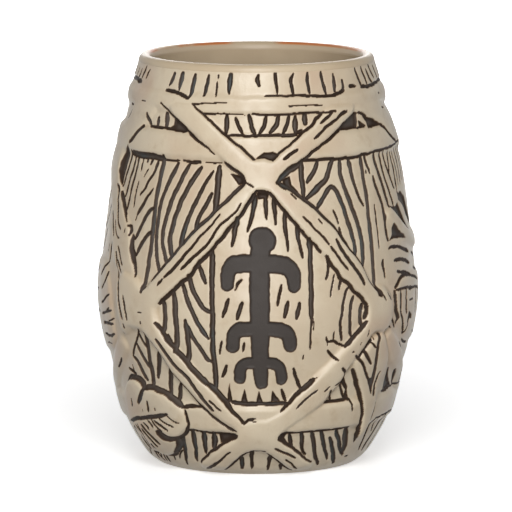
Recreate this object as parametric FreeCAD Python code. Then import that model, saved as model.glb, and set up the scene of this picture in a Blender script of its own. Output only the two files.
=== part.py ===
import FreeCAD, Part
import os
from math import cos, pi, radians, sin, sqrt

# A stoneware tiki mug: a thrown vessel with glaze coats, three applied hoops, a lashed lattice of
# diagonal bands in four tiers, and applied or inlaid motifs. Millimetres, +Z up, foot on Z = 0.
# Angles are in degrees around the axis: 0 is the front, which faces -Y, and 90 faces +X.

Vector = FreeCAD.Vector

# Driving dimensions
HEIGHT = 125.0
FOOT_RADIUS = 31.0
FOOT_INNER_RADIUS = 24.0
FOOT_RECESS = 2.0
FLOOR_TOP = 8.0
LIP_RADIUS = 1.7
LIP_CENTRE_RADIUS = 34.3
LINER_COAT = 0.5
LIP_COAT = 0.5
BAND_RISE = 1.3
MOTIF_RISE = 1.7
BOSS_RISE = 2.0
POCKET_DEPTH = 0.9
INLAY_DEPTH = 0.35
UPPER_HOOP = (110.7, 115.6, 1.1)
SHOULDER_HOOP = (97.0, 104.3, 1.0)
BASE_HOOP = (14.3, 22.6, 1.0)
UPPER_SPLIT = 71.0
LOWER_SPLIT = 33.0
BAND_FOOT = 2.2

LIP_CENTRE_HEIGHT = HEIGHT - LIP_COAT - LIP_RADIUS
LIP_OUTER = (LIP_CENTRE_RADIUS + LIP_RADIUS, LIP_CENTRE_HEIGHT)
LIP_INNER = (LIP_CENTRE_RADIUS - LIP_RADIUS, LIP_CENTRE_HEIGHT)

# Wall profiles as (radius, height), from the foot up
OUTER_WALL = [
    (FOOT_RADIUS, 0.0), (33.5, 1.8), (36.0, 5.2), (40.2, 13.0), (43.2, 25.0), (46.7, 40.0),
    (48.0, 51.0), (47.4, 62.0), (45.6, 77.0), (43.3, 92.0), (39.6, 107.0), (37.5, 118.0), LIP_OUTER,
]
INNER_WALL = [
    (26.0, FLOOR_TOP), (29.8, 8.8), (33.0, 11.2), (36.4, 17.0), (40.3, 32.0), (42.7, 48.0), (42.5, 60.0),
    (40.6, 77.0), (38.0, 92.0), (34.4, 109.0), LIP_INNER,
]


def profile_edge(points, rise=0.0):
    """A smooth wall profile in the XZ plane, moved outwards by rise along its normal."""
    curve = Part.BSplineCurve()
    knots = [Vector(r, 0, z) for r, z in points]
    curve.interpolate(knots)
    if rise:
        moved = []
        for knot in knots:
            tangent = curve.tangent(curve.parameter(knot))[0]
            moved.append(knot + Vector(tangent.z, 0, -tangent.x) * rise)
        moved[0].z = knots[0].z
        moved[-1].z = knots[-1].z
        curve = Part.BSplineCurve()
        curve.interpolate(moved)
    return curve.toShape()


def line(start, end):
    return Part.LineSegment(start, end).toShape()


def revolved(edges):
    """The solid swept by a closed outline in the XZ plane, turned once about the Z axis."""
    face = Part.Face(Part.Wire(Part.sortEdges(edges)[0]))
    solid = face.revolve(Vector(0, 0, 0), Vector(0, 0, 1), 360)
    return solid if solid.Volume > 0 else solid.reversed()


def filled(rise):
    """The outer wall as a solid of revolution with no hollow, rise proud of the bare wall."""
    wall = profile_edge(OUTER_WALL, rise)
    bottom = wall.Vertexes[0].Point
    top = wall.Vertexes[-1].Point
    axis_bottom = Vector(0, 0, bottom.z)
    axis_top = Vector(0, 0, top.z)
    return revolved([wall, line(top, axis_top), line(axis_top, axis_bottom), line(axis_bottom, bottom)])


def lip_arc(coat=0.0):
    """The rounded lip, from its outside over the top to its inside, with a coat on its crown."""
    centre = Vector(LIP_CENTRE_RADIUS, 0, LIP_CENTRE_HEIGHT)
    across = Vector(LIP_RADIUS, 0, 0)
    crown = centre + Vector(0, 0, LIP_RADIUS + coat)
    return Part.Arc(centre + across, crown, centre - across).toShape()


def vessel():
    """The hollow clay body: foot ring, wall, rounded lip and flat inside floor."""
    outer = profile_edge(OUTER_WALL)
    inner = profile_edge(INNER_WALL)
    foot_outer = outer.Vertexes[0].Point
    foot_inner = Vector(FOOT_INNER_RADIUS, 0, 0)
    recess_edge = Vector(FOOT_INNER_RADIUS - FOOT_RECESS, 0, FOOT_RECESS)
    recess_centre = Vector(0, 0, FOOT_RECESS)
    floor_centre = Vector(0, 0, FLOOR_TOP)
    floor_edge = inner.Vertexes[0].Point
    return revolved([
        outer, lip_arc(), inner, line(floor_edge, floor_centre),
        line(floor_centre, recess_centre), line(recess_centre, recess_edge),
        line(recess_edge, foot_inner), line(foot_inner, foot_outer),
    ])


def liner():
    """The glaze coat on the inside wall and floor, up to the lip."""
    wall = profile_edge(INNER_WALL)
    coated = [(r - LINER_COAT, z) for r, z in INNER_WALL]
    coated[0] = (INNER_WALL[0][0] - LINER_COAT, FLOOR_TOP + LINER_COAT)
    skin = profile_edge(coated)
    floor_centre = Vector(0, 0, FLOOR_TOP)
    skin_centre = Vector(0, 0, FLOOR_TOP + LINER_COAT)
    return revolved([
        wall, line(wall.Vertexes[-1].Point, skin.Vertexes[-1].Point), skin,
        line(skin.Vertexes[0].Point, skin_centre), line(skin_centre, floor_centre),
        line(floor_centre, wall.Vertexes[0].Point),
    ])


def lip_coat():
    """The glaze over the rounded lip, thickest on its crown and thinning out to nothing."""
    return revolved([lip_arc(), lip_arc(LIP_COAT)])


WALL_CURVE = profile_edge(OUTER_WALL).Curve


def wall_radius(height):
    """The bare outer wall's radius at a height."""
    low, high = WALL_CURVE.FirstParameter, WALL_CURVE.LastParameter
    for _ in range(40):
        middle = (low + high) / 2
        if WALL_CURVE.value(middle).z < height:
            low = middle
        else:
            high = middle
    return WALL_CURVE.value(low).x


def turned(shape, degrees):
    copy = shape.copy()
    copy.rotate(Vector(0, 0, 0), Vector(0, 0, 1), degrees)
    return copy


def prism(outline, smooth=False):
    """A block through the wall with an outline given as (angle, height) points, cut square to the
    wall at the outline's middle angle."""
    middle = (min(a for a, _ in outline) + max(a for a, _ in outline)) / 2
    start = -min(wall_radius(z) * cos(radians(a - middle)) for a, z in outline) + 5
    corners = [Vector(wall_radius(z) * sin(radians(a - middle)), start, z) for a, z in outline]
    if smooth:
        curve = Part.BSplineCurve()
        curve.interpolate(Points=corners, PeriodicFlag=True)
        wire = Part.Wire(curve.toShape())
    else:
        wire = Part.makePolygon(corners + corners[:1])
    block = Part.Face(wire).extrude(Vector(0, -16, 0))
    return turned(block, middle)


def disc(angle, height, radius):
    """A round block through the wall, centred on an angle and a height."""
    start = wall_radius(height) - 6
    block = Part.makeCylinder(radius, 14, Vector(0, -start, height), Vector(0, -1, 0))
    return turned(block, angle)


def oval(angle, height, half_angle, half_height):
    """An oval block through the wall."""
    steps = [k * pi / 6 for k in range(12)]
    outline = [(angle + half_angle * cos(s), height + half_height * sin(s)) for s in steps]
    return prism(outline, smooth=True)


def band(start, end, width):
    """A straight band's block between two (angle, height) points, width across its run."""
    middle_height = (start[1] + end[1]) / 2
    arc_length = wall_radius(middle_height) * radians(end[0] - start[0])
    rise = end[1] - start[1]
    half = width / 2 * sqrt(arc_length ** 2 + rise ** 2) / abs(arc_length)
    return prism([
        (start[0], start[1] - half), (end[0], end[1] - half),
        (end[0], end[1] + half), (start[0], start[1] + half),
    ])


def fused(blocks):
    return blocks[0].multiFuse(blocks[1:]).removeSplitter()


def slab(low, high):
    return Part.makeCylinder(80, high - low, Vector(0, 0, low))


def sector(middle, half_angle):
    """A wedge about the axis, half_angle to each side of its middle angle."""
    wedge = Part.makeCylinder(80, HEIGHT, Vector(0, 0, 0), Vector(0, 0, 1), 2 * half_angle)
    return turned(wedge, middle - half_angle - 90)


def main_solid(shape):
    """The largest solid of a result, without the specks that a cut leaves."""
    return max(shape.Solids, key=lambda s: s.Volume)


def hoop(low, high, rise):
    """An applied ring with a rounded outer face."""
    radius_low = wall_radius(low)
    radius_high = wall_radius(high)
    middle = (low + high) / 2
    crown = Vector(wall_radius(middle) + rise, 0, middle)
    inset = 3.0
    low_outer = Vector(radius_low + rise * 0.6, 0, low)
    high_outer = Vector(radius_high + rise * 0.6, 0, high)
    ring = revolved([
        line(Vector(radius_low - inset, 0, low), low_outer),
        Part.Arc(low_outer, crown, high_outer).toShape(),
        line(high_outer, Vector(radius_high - inset, 0, high)),
        line(Vector(radius_high - inset, 0, high), Vector(radius_low - inset, 0, low)),
    ])
    return ring


# The lattice, as (angle, height) points about a quarter's middle angle
TOP_CROSSING = (0.0, 92.6)
SIDE_NODE = 51.0
BOTTOM_CROSSING = (0.0, 14.3)
NECK_END = (45.0, 114.5)
FOOT_END = (24.0, 2.4)
SHOULDER_BAND = 7.4
NECK_BAND = 6.2
WAIST_BAND = 6.4
FOOT_BAND = 4.2


def top_lashing():
    """The front quarter's upper crossing: two neck arms, two shoulder arms and a round pad."""
    blocks = [disc(TOP_CROSSING[0], TOP_CROSSING[1], 5.2)]
    for side in (-1, 1):
        blocks.append(band(TOP_CROSSING, (side * NECK_END[0], NECK_END[1]), NECK_BAND))
        blocks.append(band(TOP_CROSSING, (side * 45.0, SIDE_NODE), SHOULDER_BAND))
    return fused(blocks)


def side_lashing():
    """The node between two quarters, at their common edge: four arms and a wide pad."""
    blocks = [disc(0, SIDE_NODE - 0.5, 6.6)]
    for side in (-1, 1):
        blocks.append(band((0, SIDE_NODE), (side * 45.0, TOP_CROSSING[1]), SHOULDER_BAND))
        blocks.append(band((0, SIDE_NODE - 2), (side * 45.0, BOTTOM_CROSSING[1]), WAIST_BAND))
    return fused(blocks)


def bottom_lashing():
    """The front quarter's lower crossing: two waist arms, two foot arms and a round pad."""
    blocks = [disc(BOTTOM_CROSSING[0], BOTTOM_CROSSING[1], 5.0)]
    for side in (-1, 1):
        blocks.append(band(BOTTOM_CROSSING, (side * 45.0, SIDE_NODE - 2), WAIST_BAND))
        blocks.append(band(BOTTOM_CROSSING, (side * FOOT_END[0], FOOT_END[1]), FOOT_BAND))
    return fused(blocks)


def knot_block():
    """A tied knot with three long loose tails, hanging from the front's right node."""
    head = oval(41.5, 39.6, 7.5, 3.6)
    outer_tail = prism([(45.0, 40.0), (48.0, 41.5), (56.5, 33.0), (55.0, 20.0), (51.5, 8.0), (49.0, 8.5)])
    middle_tail = prism([(40.0, 40.0), (46.0, 40.0), (48.5, 30.0), (49.0, 8.5), (46.5, 18.0), (43.0, 26.0)])
    inner_tail = prism([(33.0, 39.0), (38.0, 37.0), (43.0, 27.0), (40.5, 21.0), (35.0, 30.0)])
    return fused([head, outer_tail, middle_tail, inner_tail])


def leaf_block():
    """A three-lobed leaf lying over the base hoop, to the front's left."""
    outline = [
        (-31.0, 18.0), (-34.5, 24.0), (-42.0, 26.4), (-49.0, 26.6), (-54.0, 28.4), (-61.0, 28.6),
        (-66.0, 24.5), (-67.0, 17.0), (-62.0, 12.5), (-56.0, 6.5), (-47.0, 4.8), (-38.0, 9.0), (-32.0, 13.0),
    ]
    return prism(outline, smooth=True)


def figure_block():
    """A small round-headed rock-carving figure: trunk with tail, two arms and four legs."""
    limbs = [
        [(-2.6, 70.5), (2.4, 70.5), (2.2, 50), (1.9, 40), (0.8, 28.4), (-0.2, 28.4), (-2.0, 40), (-2.9, 50)],
        [(-13.6, 58.6), (-10.9, 58.4), (-9.0, 64.2), (0, 64.2), (0, 69.2), (-11.6, 69.0)],
        [(14.3, 58.1), (11.0, 58.3), (9.3, 64.0), (0, 64.0), (0, 68.6), (13.2, 68.5)],
        [(-12.4, 40.0), (-9.2, 40.2), (-8.0, 45.3), (0, 45.3), (0, 49.0), (-10.8, 49.0)],
        [(12.8, 40.0), (9.8, 40.2), (8.6, 45.2), (0, 45.2), (0, 49.0), (10.2, 48.9)],
        [(-9.5, 29.9), (-6.9, 30.1), (-6.0, 35.3), (0, 35.3), (0, 38.1), (-8.4, 38.0)],
        [(9.5, 29.6), (7.0, 29.8), (6.2, 34.9), (0, 34.9), (0, 38.1), (8.8, 37.9)],
    ]
    return fused([disc(0.6, 73.6, 3.9)] + [prism(limb) for limb in limbs])


def turtle_block():
    """A small plain turtle for the back: oval shell, head, four flippers and a tail."""
    flipper = [(6.0, 59.0), (13.5, 63.5), (15.5, 61.5), (12.5, 56.0), (7.5, 53.5)]
    hind = [(5.5, 44.5), (10.5, 39.0), (12.0, 40.5), (9.5, 46.0), (7.5, 48.0)]
    blocks = [oval(0, 52.5, 8.6, 10.0), disc(0, 65.0, 3.1), prism([(-1.6, 44), (1.6, 44), (0.3, 38.5), (-0.3, 38.5)])]
    for outline in (flipper, hind):
        blocks.append(prism(outline))
        blocks.append(prism([(-a, z) for a, z in reversed(outline)]))
    return fused(blocks)


QUARTERS = {"front": 0, "right": 90, "back": 180, "left": 270}
CORNERS = {"front_right": 45, "back_right": 135, "back_left": 225, "front_left": 315}


def relief(block, envelope, core, removed=()):
    """The part of a block that stands on the wall, less what lies over it."""
    shape = block.common(envelope).cut(core)
    for other in removed:
        shape = shape.cut(other)
    return main_solid(shape)


def build():
    core = filled(0)
    band_space = filled(BAND_RISE)
    motif_space = filled(MOTIF_RISE)
    boss_space = filled(BOSS_RISE)
    top_tier = slab(UPPER_SPLIT, UPPER_HOOP[0])
    middle_tier = slab(LOWER_SPLIT, UPPER_SPLIT)
    bottom_tier = slab(BAND_FOOT, LOWER_SPLIT)
    parts = {}

    knot = knot_block()
    leaf = leaf_block()
    knots = {"front": knot, "back": turned(knot, 180)}
    leaves = {"front": leaf, "back": turned(leaf, 180)}
    for side in knots:
        parts[side + "_knot"] = relief(knots[side], motif_space, core)
        parts[side + "_leaf"] = relief(leaves[side], motif_space, core)
    bosses = {"right": oval(90, 45, 21, 11.5), "left": oval(270, 45, 21, 11.5)}
    for side, block in bosses.items():
        parts[side + "_boss"] = relief(block, boss_space, core)
    motifs = list(knots.values()) + list(leaves.values())

    top = top_lashing()
    bottom = bottom_lashing()
    side_node = side_lashing()
    lattice = []
    for name, angle in QUARTERS.items():
        quarter = sector(angle, 45)
        upper = turned(top, angle).common(top_tier).common(quarter)
        lower = turned(bottom, angle).common(bottom_tier).common(quarter)
        lattice += [upper, lower]
        parts[name + "_top_lashing"] = relief(upper, band_space, core)
        parts[name + "_bottom_lashing"] = relief(lower, band_space, core, motifs)
    for name, angle in CORNERS.items():
        node = turned(side_node, angle).common(middle_tier).common(sector(angle, 45))
        lattice.append(node)
        parts[name + "_node_lashing"] = relief(node, band_space, core, motifs + list(bosses.values()))

    rings = {"upper_hoop": UPPER_HOOP, "shoulder_hoop": SHOULDER_HOOP, "base_hoop": BASE_HOOP}
    for name, (low, high, rise) in rings.items():
        ring = hoop(low, high, rise).cut(core)
        for block in lattice + motifs:
            ring = ring.cut(block)
        solids = [s for s in ring.Solids if s.Volume > 1.0]
        parts[name] = Part.makeCompound(solids) if len(solids) > 1 else solids[0]

    pocket_floor = filled(-POCKET_DEPTH)
    inlay_top = filled(-INLAY_DEPTH)
    body = vessel()
    inlays = {"front_figure": figure_block(), "back_turtle": turned(turtle_block(), 180)}
    for name, block in inlays.items():
        body = body.cut(block.cut(pocket_floor))
        parts[name] = main_solid(block.common(inlay_top).cut(pocket_floor))
    parts["vessel_body"] = main_solid(body)
    parts["liner_glaze"] = liner()
    parts["lip_glaze"] = lip_coat()
    return parts


os.makedirs("parts", exist_ok=True)
for node, shape in sorted(build().items()):
    assert shape.isValid(), node
    shape.exportStep("parts/" + node + ".step")
    print(node, len(shape.Solids), round(shape.Volume, 1))
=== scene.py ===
"""Looks of a carved stoneware mug, wrapped with lashed bands and hoops, in one frame with its CAD model."""
import math

import bpy
import numpy as np
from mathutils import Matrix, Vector
from mathutils.bvhtree import BVHTree


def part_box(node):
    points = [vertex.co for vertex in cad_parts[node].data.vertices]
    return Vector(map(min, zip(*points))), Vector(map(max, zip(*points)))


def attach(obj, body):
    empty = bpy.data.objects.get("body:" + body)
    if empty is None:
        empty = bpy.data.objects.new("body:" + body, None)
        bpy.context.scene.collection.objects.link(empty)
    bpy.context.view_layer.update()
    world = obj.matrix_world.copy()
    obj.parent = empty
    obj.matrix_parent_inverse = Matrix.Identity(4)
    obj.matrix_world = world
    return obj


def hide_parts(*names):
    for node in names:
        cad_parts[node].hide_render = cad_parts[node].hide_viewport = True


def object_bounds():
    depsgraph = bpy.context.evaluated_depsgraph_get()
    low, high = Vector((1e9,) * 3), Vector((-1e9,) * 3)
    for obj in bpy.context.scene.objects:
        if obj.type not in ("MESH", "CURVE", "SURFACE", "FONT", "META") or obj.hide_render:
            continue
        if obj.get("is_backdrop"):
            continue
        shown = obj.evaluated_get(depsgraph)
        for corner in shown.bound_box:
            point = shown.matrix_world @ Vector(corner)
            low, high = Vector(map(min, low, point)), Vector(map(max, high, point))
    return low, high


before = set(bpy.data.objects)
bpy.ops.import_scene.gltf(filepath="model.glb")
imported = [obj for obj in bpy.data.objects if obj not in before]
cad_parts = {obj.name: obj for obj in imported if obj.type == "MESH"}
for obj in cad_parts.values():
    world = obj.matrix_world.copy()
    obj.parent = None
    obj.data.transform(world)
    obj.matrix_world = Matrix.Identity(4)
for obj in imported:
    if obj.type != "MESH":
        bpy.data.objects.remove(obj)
cad_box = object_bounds()

# The chart is the outer wall unrolled: angle in degrees (0 at the front, 90 at the right) by height in mm
MM = 0.001
COLUMNS = 1200
ROW_STEP = 0.3
CHART_TURN = -1.5
MM_PER_DEGREE = 0.79
LIP_START = 122.8
SIDE = 90.0


def pairs(numbers):
    """Flat numbers as (angle, height) points."""
    return tuple(zip(numbers[::2], numbers[1::2]))


def cut(width, *numbers):
    """One carved line: its width in mm or its first and last widths, then the numbers of its points."""
    widths = width if isinstance(width, tuple) else (width, width)
    return {"widths": widths, "points": pairs(numbers)}


def fill(*numbers):
    """One outline, by the numbers of its points: a carved hollow with a dark floor, or a raised pad."""
    return {"outline": pairs(numbers)}


# Carved lines: cut(width, angle, height, angle, height, ...), widths and heights in mm, angles in degrees


def collar_cuts():
    """Short ticks hanging in the collar under the lip, and the line that they stand on."""
    return [
        cut(1.2, 0.8, 122, 0.3, 121, 1.2, 119), cut((1.3, 0.5), 9, 122.6, 9, 121, 9.4, 116.5),
        cut(1.0, 17.6, 122.2, 16.3, 121, 16.8, 116.2), cut(1.0, 24.8, 122.3, 24.3, 120, 24.6, 116.5),
        cut(1.0, 31.8, 122.2, 32.3, 119.5, 33, 116), cut((0.8, 1.4), 38.8, 121.7, 38.7, 119, 38.5, 116.6),
        cut(1.0, 44, 119.5, 43.8, 117.5, 42.5, 116.3), cut((1.4, 0.4), 48.4, 117.5, 49.4, 117.5, 52.5, 117.1),
        cut(0.9, 55, 122.5, 55.5, 120.5, 56.3, 118.5, 57, 117),
        cut(0.9, 60.5, 122.5, 61.2, 120.5, 62, 118.5, 62.7, 117.2),
        cut(0.9, 65, 121.5, 65.8, 120, 66.7, 118.5, 68.5, 117.6), cut(0.9, 69, 123, 70.2, 120.5, 72, 118.6),
        cut(0.9, 76, 122, 77, 119.5, 78.5, 117.8), cut(0.9, 83, 122.3, 83.5, 119.5, 84, 117.5),
        cut((0.5, 1.0), 3.5, 115.9, 10, 116, 20, 115.9, 27, 115.5, 36, 115.3, 40, 115.8, 44, 116.5),
        cut(0.9, 56.5, 116.7, 60, 116.7, 66, 116.7, 76, 117.2, 90, 117.4),
        cut((1.8, 0.8), -42.8, 121.4, -43.3, 119.5, -44.5, 117.9), cut((2.0, 0.8), -37.8, 121.5, -37.9, 117),
        cut(1.3, -30.2, 121.5, -30.7, 119, -31.2, 115.2), cut(1.1, -23.3, 121.7, -23.6, 119, -24.2, 115.7),
        cut(0.7, -18.2, 121.8, -18.2, 121), cut(0.6, -18.5, 119.8, -18.5, 115.8),
        cut((1.8, 0.9), -12.4, 122.2, -12.6, 120, -12.4, 116.8),
        cut(1.0, -46, 116.5, -43, 116.4, -38, 116, -34, 115.2, -31.5, 114.6),
        cut(0.9, -62.5, 121.5, -63.5, 119.2), cut(1.0, -66.8, 122.3, -67, 120.5, -68.5, 118.8),
        cut(0.7, -71.5, 121.3, -72.3, 119.5, -74, 118.8), cut(0.7, -76.5, 121.3, -77.5, 119.2),
        cut(0.8, -84, 121.5, -84.5, 118.5), cut((1.4, 0.9), -68, 117.7, -72, 117.7, -76, 118.1, -90, 118),
    ]


def hoop_cuts():
    """Lines along and inside the upper hoop, and the edges of the shoulder and base hoops."""
    return [
        cut(0.4, 14, 112.8, 22, 112.9, 30.3, 112.8), cut(0.4, -29.3, 113, -20, 113.6, -13.2, 114),
        cut(0.5, -24.5, 110.5, -11.5, 110.5), cut(0.3, -11.5, 110.5, -5, 110.5),
        cut(0.6, -2, 110.6, 8, 110.4, 20, 110.6, 30, 110.6, 36.3, 110.6), cut(0.4, -61.5, 112.3, -58, 112.5),
        cut(0.5, 70.5, 114, 72, 113.8), cut(0.6, 70.5, 109.8, 73, 109.3),
        cut((0.7, 0.3), -75, 110.5, -72.5, 110.2, -70.8, 109.2, -71.5, 107.5, -73.5, 106.2, -76, 106),
        cut((2.1, 1.5), -62.5, 96.6, -52, 96.6, -46, 96.6, -40.5, 96.3),
        cut((0.6, 0.4), -40.5, 96.1, -33, 96.2), cut((0.5, 1.2), -31, 96.3, -27.5, 96.1, -23.5, 96),
        cut(0.3, -21, 96.1, -14, 96.1),
        cut(0.8, 18, 96.8, 30, 96.8, 42, 96.6, 54, 97.2, 66, 97.5, 76, 97.8, 84, 98.2),
        cut((1.1, 0.7), -30.5, 21.8, -27, 22.3, -22, 22.3), cut(0.8, 28, 23.4, 34, 23.4, 40.3, 23.4),
        cut((0.8, 0.4), 40.3, 23.4, 41.5, 21.8, 42.2, 20),
        cut(0.7, -30, 14.5, -27, 14.8, -22, 14.2, -15, 14, -8, 13.9),
        cut(0.7, 9.2, 12.8, 10.2, 14.2, 20, 14.2, 30, 14.3, 42.5, 14.5),
        cut((0.7, 1.0), 60, 15.8, 62, 15.6, 69, 16, 76, 16, 90, 15.5),
        cut(0.8, 62, 23.6, 65, 23.6, 68, 23.8, 72, 24.2, 90, 24.4),
    ]


def window_cuts():
    """Ticks and stained corners in the low windows between the upper and shoulder hoops."""
    return [
        cut(1.3, -13, 110.2, -13.3, 105), cut(1.0, -9.2, 109.3, -7.8, 107, -6, 105),
        cut(1.2, -3.3, 110.4, -2, 107, -0.8, 104.8), cut(1.1, 4.5, 110.3, 3.2, 107, 1.3, 104.8),
        cut(1.3, 9.7, 110.3, 8.5, 107.5, 6, 105.2), cut(1.1, 14.5, 110.2, 13.5, 107.5, 11.5, 105),
        cut(1.4, 17.2, 109.6, 16.8, 105), cut(2.0, 21.5, 110, 21.5, 107.7),
        cut((0.7, 1.1), -13, 104.3, 2, 104.3, 17, 104.3), fill(16, 104.5, 20, 104.6, 20, 106, 17, 105.4),
        cut(1.1, -55.7, 109, -54, 107, -52.5, 105.5), cut(1.4, -48.3, 108, -48.3, 105.8),
        cut(2.0, -43.5, 109.5, -43, 107.5, -42.8, 106), cut(0.7, -53, 105.4, -47, 105.3, -40, 105.2),
        fill(-42, 105, -38.5, 106.3, -38.5, 108.5, -34, 107, -30, 104.9, -33, 104.3),
        cut((1.1, 1.5), -57.2, 105, -60, 103, -63, 100.5, -65, 99.7),
        fill(37.5, 105.1, 41, 107.2, 44, 108.8, 47, 109.8, 49.7, 109.4, 49.6, 106.8, 48.3, 105.1, 43, 104.9),
        fill(50.4, 107.2, 51.8, 106.8, 54.6, 105.4, 50.4, 105),
        fill(53.6, 108.3, 57, 107.5, 60, 107, 63, 106, 67.5, 104.6, 60, 104.6, 56, 104.3, 56.2, 106.3),
        cut(0.6, 50.3, 109.4, 53, 108.9, 56, 107.8), cut(0.6, 48, 105, 54.5, 105.2),
        cut(1.1, 66.5, 104.4, 68.5, 103.3, 70, 102, 72, 101, 74, 100, 78, 98.4),
    ]


def crossing_cuts():
    """Edges and strands of the front's upper crossing and its four arms."""
    return [
        cut(0.7, 29.5, 110.3, 27, 109, 24, 107, 20, 105, 17, 103.2, 10, 99.5, 6.3, 97),
        cut((0.6, 1.0), 7.6, 90.5, 12.5, 94, 16, 95.7, 20, 97.4, 24, 99.5, 30, 102, 36, 104.5, 41, 107),
        cut(0.9, 11, 97.2, 13.5, 98.6, 16.7, 99.9), cut(0.8, 24, 102.8, 27.5, 104.7, 31, 106.5, 36, 108.2),
        cut(1.0, 36, 108.2, 38.5, 109.4, 42, 110.2), cut(0.8, 28, 107.4, 31, 108.9, 34, 110.3),
        cut((0.5, 0.8), -29.3, 113.1, -26, 111.3, -23, 110, -20, 108.3, -16, 105.8, -13, 104.2, -10, 102.5,
            -6, 100.7, -3, 98.6, -1, 97.2),
        cut((0.5, 1.0), -47, 112.4, -45.5, 112, -43, 111, -41.5, 110, -38, 108.8, -34, 107, -30, 105),
        cut((1.0, 0.4), -30, 105, -27, 103.2, -22, 101, -17, 98.5),
        cut(0.9, -12.6, 96.2, -9, 94.5, -6, 93, -4.8, 91.8, -4.3, 90.5),
        fill(-0.5, 97.4, 3, 99.3, 6.5, 99.5, 9, 98.5, 6.3, 97, 3, 97.6),
        fill(-10.5, 93.3, -5.2, 92.5, -4.5, 90.5, -7, 90, -8.3, 91.5),
        cut((1.4, 2.0), 7.7, 90.5, 10.5, 92.5, 14, 94.5, 17.3, 95.8),
        cut((1.8, 1.2), 18.2, 96.5, 18.2, 90, 18.7, 85.8),
        fill(10, 91.4, 13, 92.2, 13.6, 90, 17.4, 86.6, 18, 85.9, 15, 87.2, 11, 89.4),
        cut((1.3, 0.6), 8, 90.4, 12, 89, 15.5, 87, 19.2, 84.8, 22.5, 82.8, 24.5, 81, 28, 78.3, 31, 75.7,
            33.5, 72.5, 36, 70, 38.7, 67.6, 42, 64, 44, 60, 46, 57.8, 47.5, 56.3),
        cut((0.9, 0.6), -0.3, 88.2, 4.3, 87.6, 6, 86.5, 8, 84.5, 12, 80.8, 16, 76.8, 20, 73.2, 24, 69.5),
        cut(0.8, 25.7, 68.5, 27.5, 66, 30, 63.5, 32, 61, 34, 60, 37, 57.2, 40, 55, 42.7, 52),
        cut(0.6, 17.2, 80.3, 20, 78, 24, 74.5, 27, 71.5), cut(0.7, 27.5, 71, 29.5, 69, 32, 66, 34.4, 63.8),
        cut(1.0, 30, 73, 32, 70, 34, 67.5, 36, 65.5, 38.5, 62.6, 41.3, 59), cut(0.5, 8, 90.2, 11, 88.5),
        cut(0.5, 12.8, 87.2, 15, 85.6), cut(0.4, 23.2, 79.5, 24.8, 78), cut(0.5, 50, 55, 51, 53.8, 51.6, 53),
        cut(1.2, -5, 90, -8, 88, -11, 85.5, -15, 82.8, -18, 80, -22, 77.3, -24.5, 75.3, -28, 72, -32, 68,
            -36, 64.5, -40.5, 60),
        cut(1.0, -0.3, 88, -4, 83.3, -6.5, 80.3, -9, 78, -12, 75, -16.5, 70.7, -19, 68.3, -21.5, 66, -25, 62,
            -27.5, 60.5, -29.5, 59, -32, 57, -34, 55.5, -37, 53.3),
        cut((0.5, 0.9), -5.8, 84.6, -8, 82, -10.5, 80, -14, 77.5, -17, 73.5, -20, 70.5, -24, 67.3,
            -27.7, 64.3), cut((0.5, 1.0), -13.5, 81.3, -17, 77.5, -21, 74, -25, 70, -29, 66, -34.2, 61.6),
        cut(0.7, -35, 61, -37, 59), cut(0.5, -4, 90.7, -1.3, 89.2), cut(0.6, -44.5, 56.8, -43.2, 58),
        cut(0.5, -46, 50.2, -44.6, 50.2), cut(0.5, -45.2, 47.3, -45.2, 46.7),
    ]


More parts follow.
